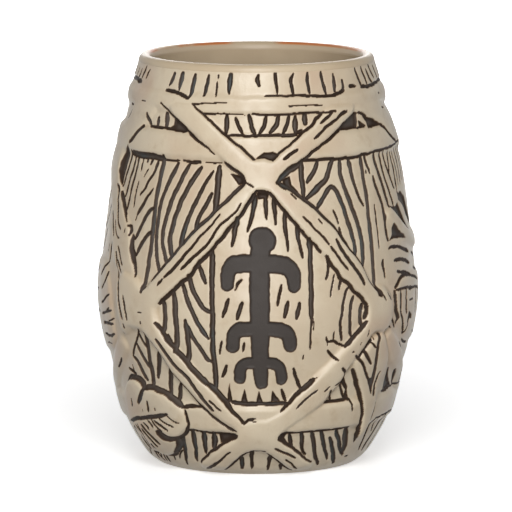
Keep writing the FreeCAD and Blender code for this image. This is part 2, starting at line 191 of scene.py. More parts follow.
def left_field_cuts():
    """Bowed slats between the shoulder hoop and the front's left arm."""
    return [
        cut(1.2, -33.5, 95.5, -35.5, 92, -38, 87.5, -39.8, 83, -40.8, 77, -40.8, 72, -39.5, 66, -38.2, 62.5),
        cut(1.3, -28, 95.5, -31.5, 90, -34.5, 85, -36.5, 80, -37.8, 75, -37.5, 71, -35, 65.2),
        cut(1.5, -22.7, 94.5, -26, 91, -29.5, 86, -32, 81, -33.8, 76, -34.3, 72, -32.8, 67.5),
        cut((0.9, 1.6), -17.5, 93.8, -20.5, 90, -24, 84.5, -27, 79, -28.8, 74.5, -29.5, 70.5),
        cut(1.2, -17.8, 87.2, -19.5, 84, -22, 80.5, -24, 75.5), cut(1.8, -15, 95, -15.3, 91, -16, 82.5),
        cut(1.5, -41, 97, -41.5, 92, -42.5, 84, -43, 75, -43.5, 67, -44.2, 61, -45, 56.3),
        cut(1.2, -43.5, 81.5, -46, 80, -48.5, 77, -50.5, 74, -52.4, 71.6),
        cut(1.2, -43.7, 74.5, -46, 73, -48.5, 70.5, -50.5, 67),
        fill(-54.2, 73, -52.8, 72.3, -53, 70, -52.5, 68.5, -51, 67.5, -50.4, 64, -50, 62, -51.5, 64,
            -54.5, 68.5, -54.6, 71), cut((1.2, 0.5), -51, 64, -49.8, 62, -49.4, 60.3),
        cut((1.1, 0.7), -44.2, 95.5, -45, 92.5, -47.5, 89.5, -50, 86.5, -52, 84.7),
        cut((0.7, 1.4), -44.7, 87.3, -47, 84.8, -50, 81.5, -52.2, 79.2), cut(0.5, -52.2, 79.2, -53.3, 77),
        cut(0.7, -54, 88.5, -54.7, 86, -55, 83, -55.5, 81),
        cut(1.1, -57, 75, -55.5, 75, -55, 74, -55.6, 72.4), cut(0.5, -58.3, 74, -58.5, 72.8),
        cut(0.7, -53.3, 96.3, -53.4, 93, -53.8, 91.8), cut(1.1, -50.3, 96.5, -50.3, 95),
        cut(1.1, -47, 96.3, -48, 94.5), cut(0.4, -48.7, 92.8, -51, 90.3),
        cut(1.1, -59.3, 96.5, -59.2, 92, -60.5, 89, -61.5, 86, -62.5, 83.5),
        cut(1.0, -56.8, 96.5, -56.5, 93, -57.3, 90, -58.5, 86, -59.3, 82, -60, 79.5),
        cut((1.4, 0.8), -65, 84.5, -63, 82.5, -61, 80.3, -60, 79, -59, 77.5), cut(0.4, -59, 77.5, -57.6, 76),
        fill(-66, 98.6, -69.5, 96.4, -71.6, 93.5, -70.8, 90.6, -68, 87.5, -66.4, 86.4, -66.3, 89, -65.4, 92,
            -65, 95, -65, 97.5), cut(1.1, -62.6, 97.2, -63.2, 93, -64.4, 89.5, -65.6, 86.4),
        cut(0.9, -69.5, 86.5, -67.2, 85.2, -66.5, 82.5, -65.3, 80, -64.3, 77, -63.3, 75, -61.5, 73.5),
        cut(0.9, -70.2, 78, -69, 75.5, -67.5, 73, -66.8, 71),
        cut(0.6, -66.5, 76, -65, 72.5, -63.5, 71, -62, 70.6),
        cut(0.6, -62, 68.5, -60, 66, -58.5, 64, -57.5, 63),
        cut((1.1, 0.6), -63, 66.5, -62, 64, -61.5, 60, -61, 57.5), cut(0.5, -61, 57.5, -60.3, 53, -59.4, 47),
        cut(0.6, -59.4, 47, -58.7, 43.5, -58.3, 42.3),
        cut(0.9, -61, 64, -59, 61.7, -58.4, 60, -57.8, 56, -57, 52, -55.8, 48.5, -55.3, 47.2),
        cut(0.7, -55.3, 45.6, -55.2, 44.4), cut(0.8, -54.7, 54.3, -53.5, 51, -52.6, 47.3),
        cut(1.3, -70.3, 71.2, -70.1, 69.3), cut(1.2, -70.5, 68, -70.5, 65, -70.8, 62.7),
        cut(0.7, -67.8, 69, -67.5, 66.3), cut(0.5, -73.5, 68, -74, 65.5),
    ]


def left_boss_cuts():
    """The stack of short gouges down the left side's boss."""
    return [
        cut(0.9, -71.2, 62.6, -74, 60.5, -77, 58), cut(0.9, -69.8, 59.5, -70.3, 58, -72, 56.5, -75.5, 54.2),
        cut(0.8, -67.5, 53.1, -70.5, 52, -73, 50.6, -76, 49.6),
        cut(0.9, -66, 48.3, -69, 47.8, -72, 47.1, -76.5, 46.2), cut(0.6, -67.5, 49.1, -70, 48),
        cut(1.0, -65.8, 44.2, -70, 44, -76, 43.5), cut(0.6, -64.8, 46, -69, 44.8),
        cut(1.0, -66, 41.2, -68.5, 40.4, -72, 40.3, -76, 40.3), cut(0.5, -70, 37.5, -73, 37.8, -75.5, 37.4),
        cut(0.7, -63, 34, -66, 32, -68.5, 30.5), cut(0.8, -82, 60.5, -86, 58, -90, 57),
        cut(0.8, -81.5, 53.5, -86, 52.4, -90, 52), cut(0.9, -81.5, 46.5, -86, 46.4, -90, 46.4),
        cut(0.8, -81.5, 40.5, -86, 41, -90, 41.3), cut(0.8, -80, 72, -82.5, 68, -86, 65, -90, 64),
        cut(0.7, -76, 84, -78, 79, -82, 74, -87, 71), cut(0.7, -82, 86, -83.5, 81, -87, 77),
    ]


def right_field_cuts():
    """Bowed and straight slats between the shoulder hoop and the right node."""
    return [
        cut(1.4, 25.5, 96.7, 24, 94, 22, 91.8, 20.3, 90.6),
        cut(1.6, 32.5, 96.7, 30.5, 94, 28.5, 91, 25, 89, 22, 87, 20, 85.8),
        cut(1.3, 23.5, 82.6, 26, 85, 29, 88, 31, 88.6, 33, 86.8, 35.5, 82, 37, 78, 38.5, 74, 39.5, 70,
            39.3, 67.6), cut(0.6, 30.5, 81.6, 31.8, 79.5, 32.4, 77.6),
        cut(0.9, 32.6, 76.5, 33.3, 74, 36, 70.3),
        cut(1.4, 36, 96.5, 35.5, 92, 37, 87.5, 38.5, 84, 40.5, 80, 42.5, 75, 43.2, 71, 43, 67, 42.3, 64.5),
        cut((1.4, 0.7), 40.5, 96.5, 41, 93, 41.5, 90, 43, 86, 44.7, 83, 45.5, 81.8),
        cut(1.4, 47.3, 97, 47.3, 90, 47.8, 85, 47.8, 78, 48, 70, 47.8, 62, 47.8, 57.5),
        fill(46.8, 57, 48.2, 58.3, 49.2, 56.6, 50.2, 55, 49.5, 54.3, 47.8, 54.8),
        cut(1.0, 49.5, 97, 50, 95, 51, 92.5, 51.5, 91.3), cut(0.7, 49.2, 92.1, 49.2, 91.5),
        cut(1.2, 53, 90.3, 53.5, 88, 55.5, 84, 57, 80, 57.3, 76, 57.7, 72, 58, 70.5),
        cut(0.6, 51.7, 82, 52, 76, 52.2, 71, 52, 69),
        cut((1.1, 0.8), 53.6, 65, 53.4, 63.5, 53.8, 62, 54.2, 59.6),
        cut(1.3, 55.5, 97, 56.5, 92.5, 58.5, 87, 60, 83, 61, 80.5), cut(0.5, 53, 55.3, 55, 52.9),
        cut(1.0, 60, 97, 60.3, 91, 62, 87, 63.7, 83, 65, 79.8),
        cut(1.0, 63, 97, 63.5, 93, 65, 90, 66.5, 87, 67.5, 85.5), cut(0.8, 67.3, 96.5, 66, 92, 65.2, 90),
        cut(1.0, 69.8, 96, 69.8, 90, 70, 85), cut(0.7, 72.3, 96, 72.5, 90, 72.6, 86),
        cut(0.8, 76, 97, 76, 90, 75.5, 86), cut(0.8, 80, 97, 80, 91, 79, 87),
        cut(0.8, 84.5, 97, 84.5, 92, 84, 88), cut(0.8, 90, 97, 90, 90),
        fill(61, 80.7, 64, 79.1, 67, 77.1, 70, 75.3, 74, 73.2, 78, 71.8, 76, 73.8, 73, 76, 70.5, 79,
            68.8, 80.8, 66.4, 79.8, 64, 80),
        fill(69.6, 84.6, 70.2, 81.6, 74, 80, 78, 76.5, 84, 73, 90, 71.5, 84, 76, 79, 81.5, 74, 84,
            71.5, 83.6),
        fill(62, 75.4, 64.5, 73.5, 67, 72, 72, 70, 66, 70.6, 61, 70.7, 58.8, 70.3, 61.3, 71.8),
        cut((1.0, 1.3), 58, 68, 60, 68.4, 65, 68, 70, 66.8, 75, 65.4),
        cut(1.2, 61, 64.2, 65, 64.2, 69, 63.6, 75, 61.8), cut(1.0, 62.6, 60.7, 66, 60.1, 70, 59.5, 74, 58.4),
        cut(1.0, 80, 64.5, 85, 63, 90, 62.5), cut(1.0, 80.5, 60, 85, 59, 90, 58.6),
    ]


def right_boss_cuts():
    """The arched brow and hanging strands on the right side's boss."""
    return [
        cut(1.0, 59.8, 56, 61.5, 57, 63.5, 58.3, 66.5, 59, 70, 58.8, 76, 57.8, 83, 56),
        cut(0.8, 60, 55.3, 66, 55.4, 70, 54.9, 77, 54.4, 84, 53), cut(1.3, 69.6, 54.7, 72.5, 54.6),
        cut(1.2, 59.3, 55, 59.8, 52, 60.3, 49.5, 61.5, 47.5, 62.2, 46.6, 61.5, 45.2),
        cut(0.9, 62.8, 54.8, 63, 51.5, 63.2, 48.5, 64.5, 46.8, 66, 44.5, 68, 41.3),
        cut((0.7, 0.9), 57, 53, 57.3, 49.5, 58.3, 47, 59.8, 45.3, 60.8, 44),
        cut(1.0, 67, 55, 67.2, 51.5, 67.5, 49, 68.3, 47.5), cut(0.6, 56.2, 46, 56.7, 44.8, 57.6, 44.2),
        fill(70.2, 47.8, 73.8, 46.3, 74, 45.2, 71, 45.4, 70.4, 43.6, 69.6, 45),
        cut(0.9, 70.3, 43.8, 69, 42, 68, 41.2), cut(0.5, 70, 51.2, 74, 51.2),
        cut(0.8, 66, 38.8, 69, 36.7, 75, 32.8), cut(0.8, 69, 39.2, 72, 38, 76, 37.4),
        cut(0.8, 78, 54, 78.3, 50, 79, 46.5), cut(0.8, 84, 53, 84.2, 49, 85, 45.5),
        cut(0.8, 90, 52.5, 90, 44), cut(0.7, 79, 41, 84, 39.2, 90, 38.6),
        cut(0.5, 53, 44.2, 53.2, 43.2, 54, 42.3),
    ]


def panel_cuts():
    """Border, grass, rays and dashes around the figure on the front panel."""
    return [
        cut(1.5, -16.5, 70.3, -16.3, 58, -16, 50, -16.2, 42, -15.9, 30, -16.2, 28.5),
        cut(1.4, 19.5, 73.8, 20.2, 71, 20, 64, 20, 50), cut(0.6, 20, 50, 19.8, 45, 20, 40.5),
        cut(0.3, 20.6, 50, 21, 46), cut(1.1, -10, 24, -2, 23.7, 12, 23.7),
        fill(-10.5, 29.7, -12, 24, -10, 24), fill(-5, 28.2, -6, 24.3, -3.5, 24.3),
        fill(0.8, 27.5, 0, 24.2, 2.5, 24.2), fill(6, 27.7, 5.8, 24.3, 9.5, 24.3),
        cut(0.9, 10, 27.8, 11.5, 24.5), fill(0, 87.6, 4.5, 87.6, 4.2, 85.8, 0.6, 85.8),
        cut((1.6, 0.7), -0.4, 86.5, -1.8, 81, -3.5, 76), cut((1.6, 0.7), 3.3, 86, 3.5, 83, 3.7, 79.8),
        cut((1.4, 0.7), 6.5, 85.5, 7, 82, 7.3, 78.2), cut((1.4, 0.7), 10.7, 81.8, 10.9, 77, 11.8, 70.3),
        cut((1.4, 0.7), 15.3, 77.5, 15.7, 74, 17.3, 68.2), cut((1.8, 0.8), -7.2, 80, -8.2, 76, -9.2, 71.6),
        cut(0.9, -8, 58.8, -7, 60.5, -5.3, 61.7), cut(1.1, -12, 50.6, -11, 54, -10, 56),
        cut(1.2, -7, 50.2, -6.3, 52.5, -5.3, 55), cut(0.6, -13.8, 39.2, -12.6, 43),
        cut(0.8, -5, 40.4, -4.5, 42.7), cut(1.0, -13.2, 32, -12, 34, -11.2, 35.4),
        cut(0.8, 8.9, 60.2, 8, 57, 7.5, 54), cut(1.2, 11.2, 55.2, 10.8, 53, 10.2, 50.6),
        cut(1.2, 15.5, 54.6, 14.8, 52, 14.5, 50.2), cut(0.5, 17.7, 38.6, 17.6, 37.4),
        cut(1.0, 14.2, 34.4, 15.6, 31, 17.5, 27.8),
    ]


def left_pocket_cuts():
    """Slats between the left node and the front panel, and under the left lower arm."""
    return [
        cut(1.2, -20.5, 64, -19.5, 62, -18.7, 60.5),
        cut(1.4, -25, 62.5, -24, 59, -22, 56, -19.5, 53, -17, 52),
        cut(1.3, -27.5, 60, -26.5, 57, -24, 52, -21.5, 48, -18, 44),
        cut(1.7, -31, 57, -30.7, 52, -30.3, 46, -31, 39.5), cut(1.5, -35.5, 54.5, -35, 50, -35.8, 44.8),
        cut(1.5, -26.6, 48.8, -26, 45, -25.8, 40, -26.5, 36),
        cut(1.2, -26.3, 48, -24, 44, -21, 40.5, -18.5, 37, -17, 36.5), cut(1.3, -21.2, 65.5, -19, 61),
        cut((0.9, 1.3), -38.8, 47.6, -36, 45, -34, 42.8, -31, 40, -28, 37.5, -26, 35.3, -23, 32.7, -19, 29.8),
        cut((1.3, 0.7), -19, 29.8, -16, 27.5, -13, 25, -10.5, 22.3, -7, 19.5, -5, 17.8, -3.5, 18.8,
            -0.5, 19.4), cut(0.8, -34, 44, -32.5, 41.8),
        cut(1.0, -38.3, 42.6, -35, 39, -31, 35, -27, 32, -25, 29.5, -22, 26, -20, 23.8, -17.5, 21.8),
        cut(0.6, -18.5, 24.8, -16, 23, -14, 21.9),
        cut(0.8, -42, 41.8, -39, 39, -36, 35.5, -33.5, 32, -31, 30, -27, 26.5, -24, 24, -22, 22.4, -19, 20.4,
            -15, 18, -10, 15.6, -8.5, 15.3), cut(1.5, -39, 38.5, -40.5, 34, -42, 30),
        cut(1.5, -35, 33.5, -36, 29, -36.5, 25.2), cut(1.3, -31, 29, -32, 26, -32.7, 23.3),
        cut(1.5, -44.8, 43.7, -44.5, 40, -45, 35, -45, 30, -45.5, 27),
        cut(0.8, -47.8, 44.7, -49, 43.3, -51.5, 40, -54, 37, -55, 35.5),
        cut(0.9, -49, 43.3, -47.5, 41.5, -45.4, 39), cut(1.2, -51, 39.5, -49, 36.5, -47, 34, -45.5, 32.5),
        cut((1.3, 1.6), -55, 35.5, -52.5, 34, -51, 31.5, -50, 30, -48.6, 28.6),
        cut(1.2, -60, 31, -57.5, 30.4, -55.5, 29.8), cut(0.7, -57, 32.4, -56.6, 30.5),
    ]


def right_pocket_cuts():
    """Slats between the panel and the right node, and the small pocket by the knot."""
    return [
        cut(0.8, 26.2, 68.3, 27, 65.5, 26.7, 62.5, 26, 61.4), cut(0.5, 29.4, 62.5, 28, 58, 27.4, 56),
        cut(0.8, 32, 61, 31.2, 58), cut(0.9, 34.8, 58.3, 33.2, 55, 32.2, 50, 31.7, 47, 32.7, 42.4),
        cut(1.0, 37.2, 55.5, 36.3, 53.5, 35.7, 50, 36, 47, 36.6, 43.5),
        cut(0.6, 33.8, 56, 34.6, 58, 35.5, 58.5), cut(1.2, 40.8, 53, 40.3, 50, 40.7, 47, 41, 46.5),
        cut(0.8, 42, 52.5, 42.5, 51, 42, 48.3), cut(0.9, 42.7, 47.6, 41, 46, 39, 44.5, 36.5, 42.5, 34, 40.5),
        cut(0.7, 26.2, 43.7, 27, 42.3, 29.3, 42.6, 31, 41.5, 34, 40.5), cut(0.5, 27, 42.3, 27, 41.3),
        cut(0.5, 29.3, 45, 29.3, 42.8), cut(0.8, 27.3, 39.6, 29, 38, 31, 36.8),
        cut(0.8, 33.2, 34.3, 35.5, 32, 36, 31), cut((1.2, 0.6), 22.3, 30.7, 16.5, 27, 13, 24, 9.7, 21.4),
        cut(0.3, 20.5, 30.5, 23.5, 31.5), cut(0.6, 15.7, 22.5, 19, 25, 23.7, 27.8),
        cut(0.6, 27, 27.3, 28.5, 28.5), cut(0.8, 29.5, 27.2, 31, 24), cut(0.6, 31.5, 28.8, 34, 29.8),
        fill(34, 30, 35.5, 31.6, 36.9, 29.5, 38.6, 27, 40.1, 23.5, 37.4, 23.6, 38, 26.4),
        cut(0.8, 34.2, 29.6, 35.4, 27.2, 37, 24.8, 37.6, 23.8), cut(0.3, -3, 18.6, -0.3, 18.4),
    ]


def knot_cuts():
    """Outline and strands of the tied knot and its loose tails."""
    return [
        cut(0.9, 37.1, 38.9, 37.5, 38.9), cut(0.9, 40.7, 37, 42.5, 39, 44.5, 40.7, 46, 41.7),
        cut(0.8, 46, 40.8, 47.8, 39.6), cut((1.2, 0.8), 43, 38.5, 44.5, 36.5, 46.6, 34.5),
        cut(0.8, 38.8, 37.5, 41, 36, 43.5, 33.5, 45.5, 31, 46.8, 29.6, 48, 28, 49.5, 26, 50, 25),
        cut((0.8, 1.4), 49, 43.5, 49.7, 43, 49, 40.5, 49, 37.5, 49.3, 34, 49.3, 30, 49.4, 27),
        fill(46.8, 29.8, 48.6, 30, 48.7, 31.5, 50.1, 31.5, 50, 24.8, 48.6, 27),
        cut(0.8, 39, 33, 41, 30.3, 44, 26, 46, 23, 47.5, 20, 48.2, 18.2, 48.3, 16, 48.7, 13, 49.8, 10.5,
            51, 8.7), cut(0.8, 52.8, 31.5, 52, 30, 51.4, 27.5, 51.6, 25, 51.8, 24),
        cut((1.0, 0.6), 58.4, 31.8, 57, 29, 56.3, 26, 56.2, 22, 56, 18.5, 55.3, 16, 54.5, 14.3),
        cut(0.3, 43.6, 45.2, 43.4, 43.4), cut(0.3, 46.8, 42.8, 47.2, 41.8), cut(0.3, 40.2, 41, 40.8, 41.7),
        fill(62.6, 31, 63.4, 31, 65, 28.4, 68, 26, 71.5, 24.4, 66, 23.8, 63, 24.2),
        cut(1.2, 68.3, 30, 70.5, 27.8, 73.5, 24.8), cut(0.9, 76, 32, 78, 28, 80, 24.5),
        cut(0.9, 85, 32, 85, 25), cut(1.1, 60, 15.6, 58.5, 14, 58, 12, 58.5, 9, 59.5, 6.5, 60.5, 5),
        cut(0.8, 63, 15, 62.3, 13, 63, 11), cut(1.6, 70.5, 15.5, 68, 12.5, 66, 9.5, 65, 7, 65.3, 4.5),
        cut(1.0, 78, 15, 75, 11, 73, 7, 73, 4), cut(1.0, 86, 15, 84, 11, 83, 7),
    ]


def leaf_cuts():
    """Outline and veins of the lobed leaf."""
    return [
        cut(1.3, -49.8, 26.2, -47, 26.8, -44, 26.7, -42, 26.2, -38, 25.5, -35, 24, -30.5, 21.8),
        cut((0.7, 1.5), -30, 21, -29.3, 19, -29, 16.5, -30, 15, -32, 13, -36, 12, -40, 11.6, -44, 11.8),
        fill(-46.6, 13.3, -45, 13.9, -40, 12.5, -34, 12.7, -36, 11.2, -40, 10.8, -44, 11, -46.4, 12.2),
        cut(1.4, -41, 6, -38, 8, -36, 9.5, -35.5, 11.5), cut(0.5, -41.5, 4, -40, 5.2, -37, 7),
        cut(1.3, -53, 5.2, -50, 5.4, -46, 4.9, -42, 5.6, -40, 6.6), cut(0.8, -42, 18.5, -38, 19.3),
        cut(0.4, -38.5, 19, -36, 17.6, -33, 17), cut(0.5, -43, 17.6, -39, 16.2, -36, 15.5),
        cut(0.7, -46, 16.6, -42, 15.2, -39.5, 14.2),
        cut(1.5, -65.6, 24.4, -63, 26.6, -61, 27.8, -59, 28.5, -55, 28.8, -52, 28.2, -50, 27, -49.5, 26.2),
        cut((1.5, 1.9), -49.5, 26, -51.5, 24, -53, 22.3, -54, 21.6), cut(1.4, -66.3, 21.5, -66, 19),
        cut(0.8, -58.8, 22.2, -59.2, 20), cut(0.7, -47.8, 22.5, -48.5, 19.5),
        cut(0.6, -44.4, 20.7, -44.4, 20.1), cut(0.4, -52, 19.6, -52.1, 18.9),
        cut(1.3, -68, 13, -63, 14.6, -60, 15.6, -55, 16.5, -50, 17.4, -45, 18, -40, 19),
        cut(0.7, -50, 16.2, -47.5, 14.8), cut(0.6, -53.5, 15.2, -50.5, 14),
        cut(0.9, -55.5, 14.3, -52, 12.5, -47, 9.5), cut(1.0, -56, 13.2, -53, 11, -49.5, 8.5),
        cut(0.7, -60, 13.8, -57.5, 12), cut(0.6, -62.5, 13, -60.5, 11.6), cut(0.8, -57.5, 10.3, -56, 8.7),
        fill(-54.4, 8.8, -53.9, 6.4, -52, 5.2, -50.6, 6.6, -53, 9), cut(1.2, -51, 4, -52, 2),
        cut(0.8, -45, 4.2, -45.5, 3.2), cut(0.8, -62, 4.3, -55, 4.5), cut(1.2, -61, 4, -61.5, 2.2),
        cut(0.9, -56, 4, -57.5, 3), cut(1.8, -67, 8, -65.5, 6, -64.5, 5.2), cut(1.0, -73, 11, -72, 7, -70, 4),
        cut(1.0, -82, 12, -81, 7, -80, 4), cut(0.5, -65.5, 12.9, -66.5, 9.5, -67.5, 6.5),
        cut(0.6, -63.8, 11.3, -63.1, 5.8), cut(0.5, -62, 13.5, -60.6, 10.4, -60.3, 5.5),
        cut(0.6, -58.6, 14.2, -56.8, 11.5, -56.4, 8.4), cut(0.5, -52.4, 15, -50.5, 13.4),
        cut(0.5, -49.4, 15.9, -47.6, 14.4), cut(0.6, -48.3, 17.2, -45, 14.6, -42.7, 13.5),
        cut(0.8, -66.3, 4.8, -70, 2.5), cut(0.9, -59.1, 4.3, -57, 1.8), cut(0.8, -53.1, 4.3, -54.5, 2),
    ]


def foot_cuts():
    """Hanging gouges under the base hoop and the edges of the arms that run to the foot."""
    return [
        fill(-16, 14, -8, 13.9, -8, 13.3, -14, 11.3, -16, 11),
        fill(9.2, 12.8, 10.2, 14.2, 13.5, 14, 12.4, 13.6, 11.8, 12.4, 14.5, 10.6),
        cut(1.1, 13.8, 14, 14.6, 12, 15.8, 10), cut((1.6, 0.7), 19.3, 14, 20.5, 11, 21.2, 8.5, 23.5, 6.5),
        cut((1.4, 0.9), 24, 14, 26, 11, 28, 7.5, 30, 5, 33, 2.4),
        cut((1.4, 0.9), 28.5, 14, 30.5, 11.3, 33, 8, 37.3, 4),
        cut((1.1, 1.4), 34, 11.5, 36.5, 9, 39, 6.5, 41, 4.2, 43.3, 2.3),
        cut((1.5, 1.1), 36.5, 14, 37.5, 12.3, 40, 10, 43, 7, 46, 5.4, 47, 4.8),
        cut((2.2, 1.6), 41.6, 14, 42.6, 12, 44.2, 9.5, 45.6, 7.5, 46.2, 6), cut(0.6, 50, 4, 52, 3.9),
        cut(1.7, -18.5, 14, -18.8, 11, -19.5, 9.2), cut((1.8, 1.0), -23, 14, -23.5, 10, -24.5, 7),
        cut((1.8, 1.0), -28, 14.5, -28.5, 11, -30, 6, -31, 4),
        cut((1.5, 0.9), -33.5, 12, -35, 9, -36, 6, -38.3, 2.3),
        cut((0.8, 0.4), 9.2, 12.8, 14.5, 10.3, 19, 8, 24, 5.4, 28, 3.8),
        cut(0.8, 4.8, 7.9, 8, 6.2, 12, 4.2, 15, 2.6, 18.5, 1.3), cut(0.7, 8, 10, 14, 8, 17.7, 6.7),
        cut(0.5, 13, 6.4, 16.5, 4.7, 20, 2.6),
        cut((0.7, 0.5), -8, 13.5, -12, 12, -16, 10.3, -20, 8.3, -25, 5.8, -28.5, 3.8),
        cut(0.9, -3, 8.5, -6, 7.6, -10, 5.2, -13, 3.5, -16.5, 1.8),
        cut((0.5, 1.0), -11.3, 8.8, -15, 7, -20, 4.5, -26.3, 1.8), cut(0.7, -4, 8, -1.5, 9.1, 0, 8.8, 3.6, 9),
        cut(1.3, -7, 7, -7.2, 2.2), cut((1.3, 0.8), -2.2, 8.8, -2.4, 2.2), cut((1.3, 0.8), 6.3, 7, 5.9, 1.7),
        cut(1.0, 12, 4.2, 12.5, 1.8),
    ]


# Heights in mm that pads stand above the wall, and how carved lines differ from their listed widths
BOSS_RISE = 0.6
LEFT_RISE = 0.7
RIGHT_RISE = 0.9
BAND_RISE = 1.3
MOTIF_RISE = 1.5
CROWN_RISE = 0.35
HOOP_CROWN = 0.3
HOOP_RISES = {"upper_hoop": 0.7, "shoulder_hoop": 0.9, "base_hoop": 0.9}
RIGHT_SWELL = 0.85
SWELL_HEIGHTS = (25, 112)
WIDER = 1.12
FLANK_THINNER = 0.15
FLANK_START = 46
FLANK_TOP = 104
LINE_TIP = 0.66
DEEPEST_LINE = 0.9
HOLLOW_DEPTH = 0.7
INLAY_DEPTH = 0.55
FOOT_FADE = 6
LIP_FADE = 1.2
FIGURE_HEAD = (2.1, 73.6, 3.9)
# How far a hand-made line wanders and a wall dents in mm, each with the size of its patches in mm
LINE_WOBBLES = ((0.16, 2.6), (0.10, 1.1))
WALL_DENTS = ((0.07, 9), (0.05, 3.5))
SEED = 11
# Over how many chart cells pads round off, at their edges and up to their crowns
EDGE_CELLS = 4
CROWN_CELLS = 9


def figure_parts():
    """The little standing figure as thick strokes, widths in mm."""
    return [
        cut(5.0, 1.4, 70.5, 1.1, 64, 1.1, 50), cut((4.9, 4.0), 1.1, 50, 1.3, 42, 1.5, 37),
        cut((4.0, 3.0), 1.5, 38, 1.6, 34, 1.8, 30.2), cut(4.6, 0, 66.7, -4, 66.8, -7.6, 66.5),
        cut((4.5, 3.1), -7.6, 66.4, -8.9, 65.9, -9.9, 64.9, -10.5, 63.4, -10.6, 60.3),
        cut(4.5, 2, 66.5, 7, 66.5, 10.2, 66.1),
        cut((4.4, 3.2), 10.2, 66.0, 11.6, 65.4, 12.7, 64.3, 13.3, 62.7, 13.6, 59.9),
        cut(3.8, 0, 47.2, -5.6, 47.0), cut((3.8, 3.2), -5.6, 46.9, -7.3, 46.2, -8.4, 44.9, -8.8, 41.7),
        cut(3.8, 2, 47.2, 8.4, 46.8), cut((3.7, 3.2), 8.4, 46.7, 10.4, 46.0, 11.7, 44.7, 12.4, 41.7),
        cut(3.0, 1, 36.7, -3.8, 36.5), cut((3.0, 2.7), -3.8, 36.4, -5.3, 35.7, -6.2, 34.3, -6.4, 31.4),
        cut(2.9, 2, 36.8, 6.4, 36.3), cut((2.9, 2.6), 6.4, 36.2, 8.1, 35.4, 9.1, 34.0, 9.7, 31.1),
    ]


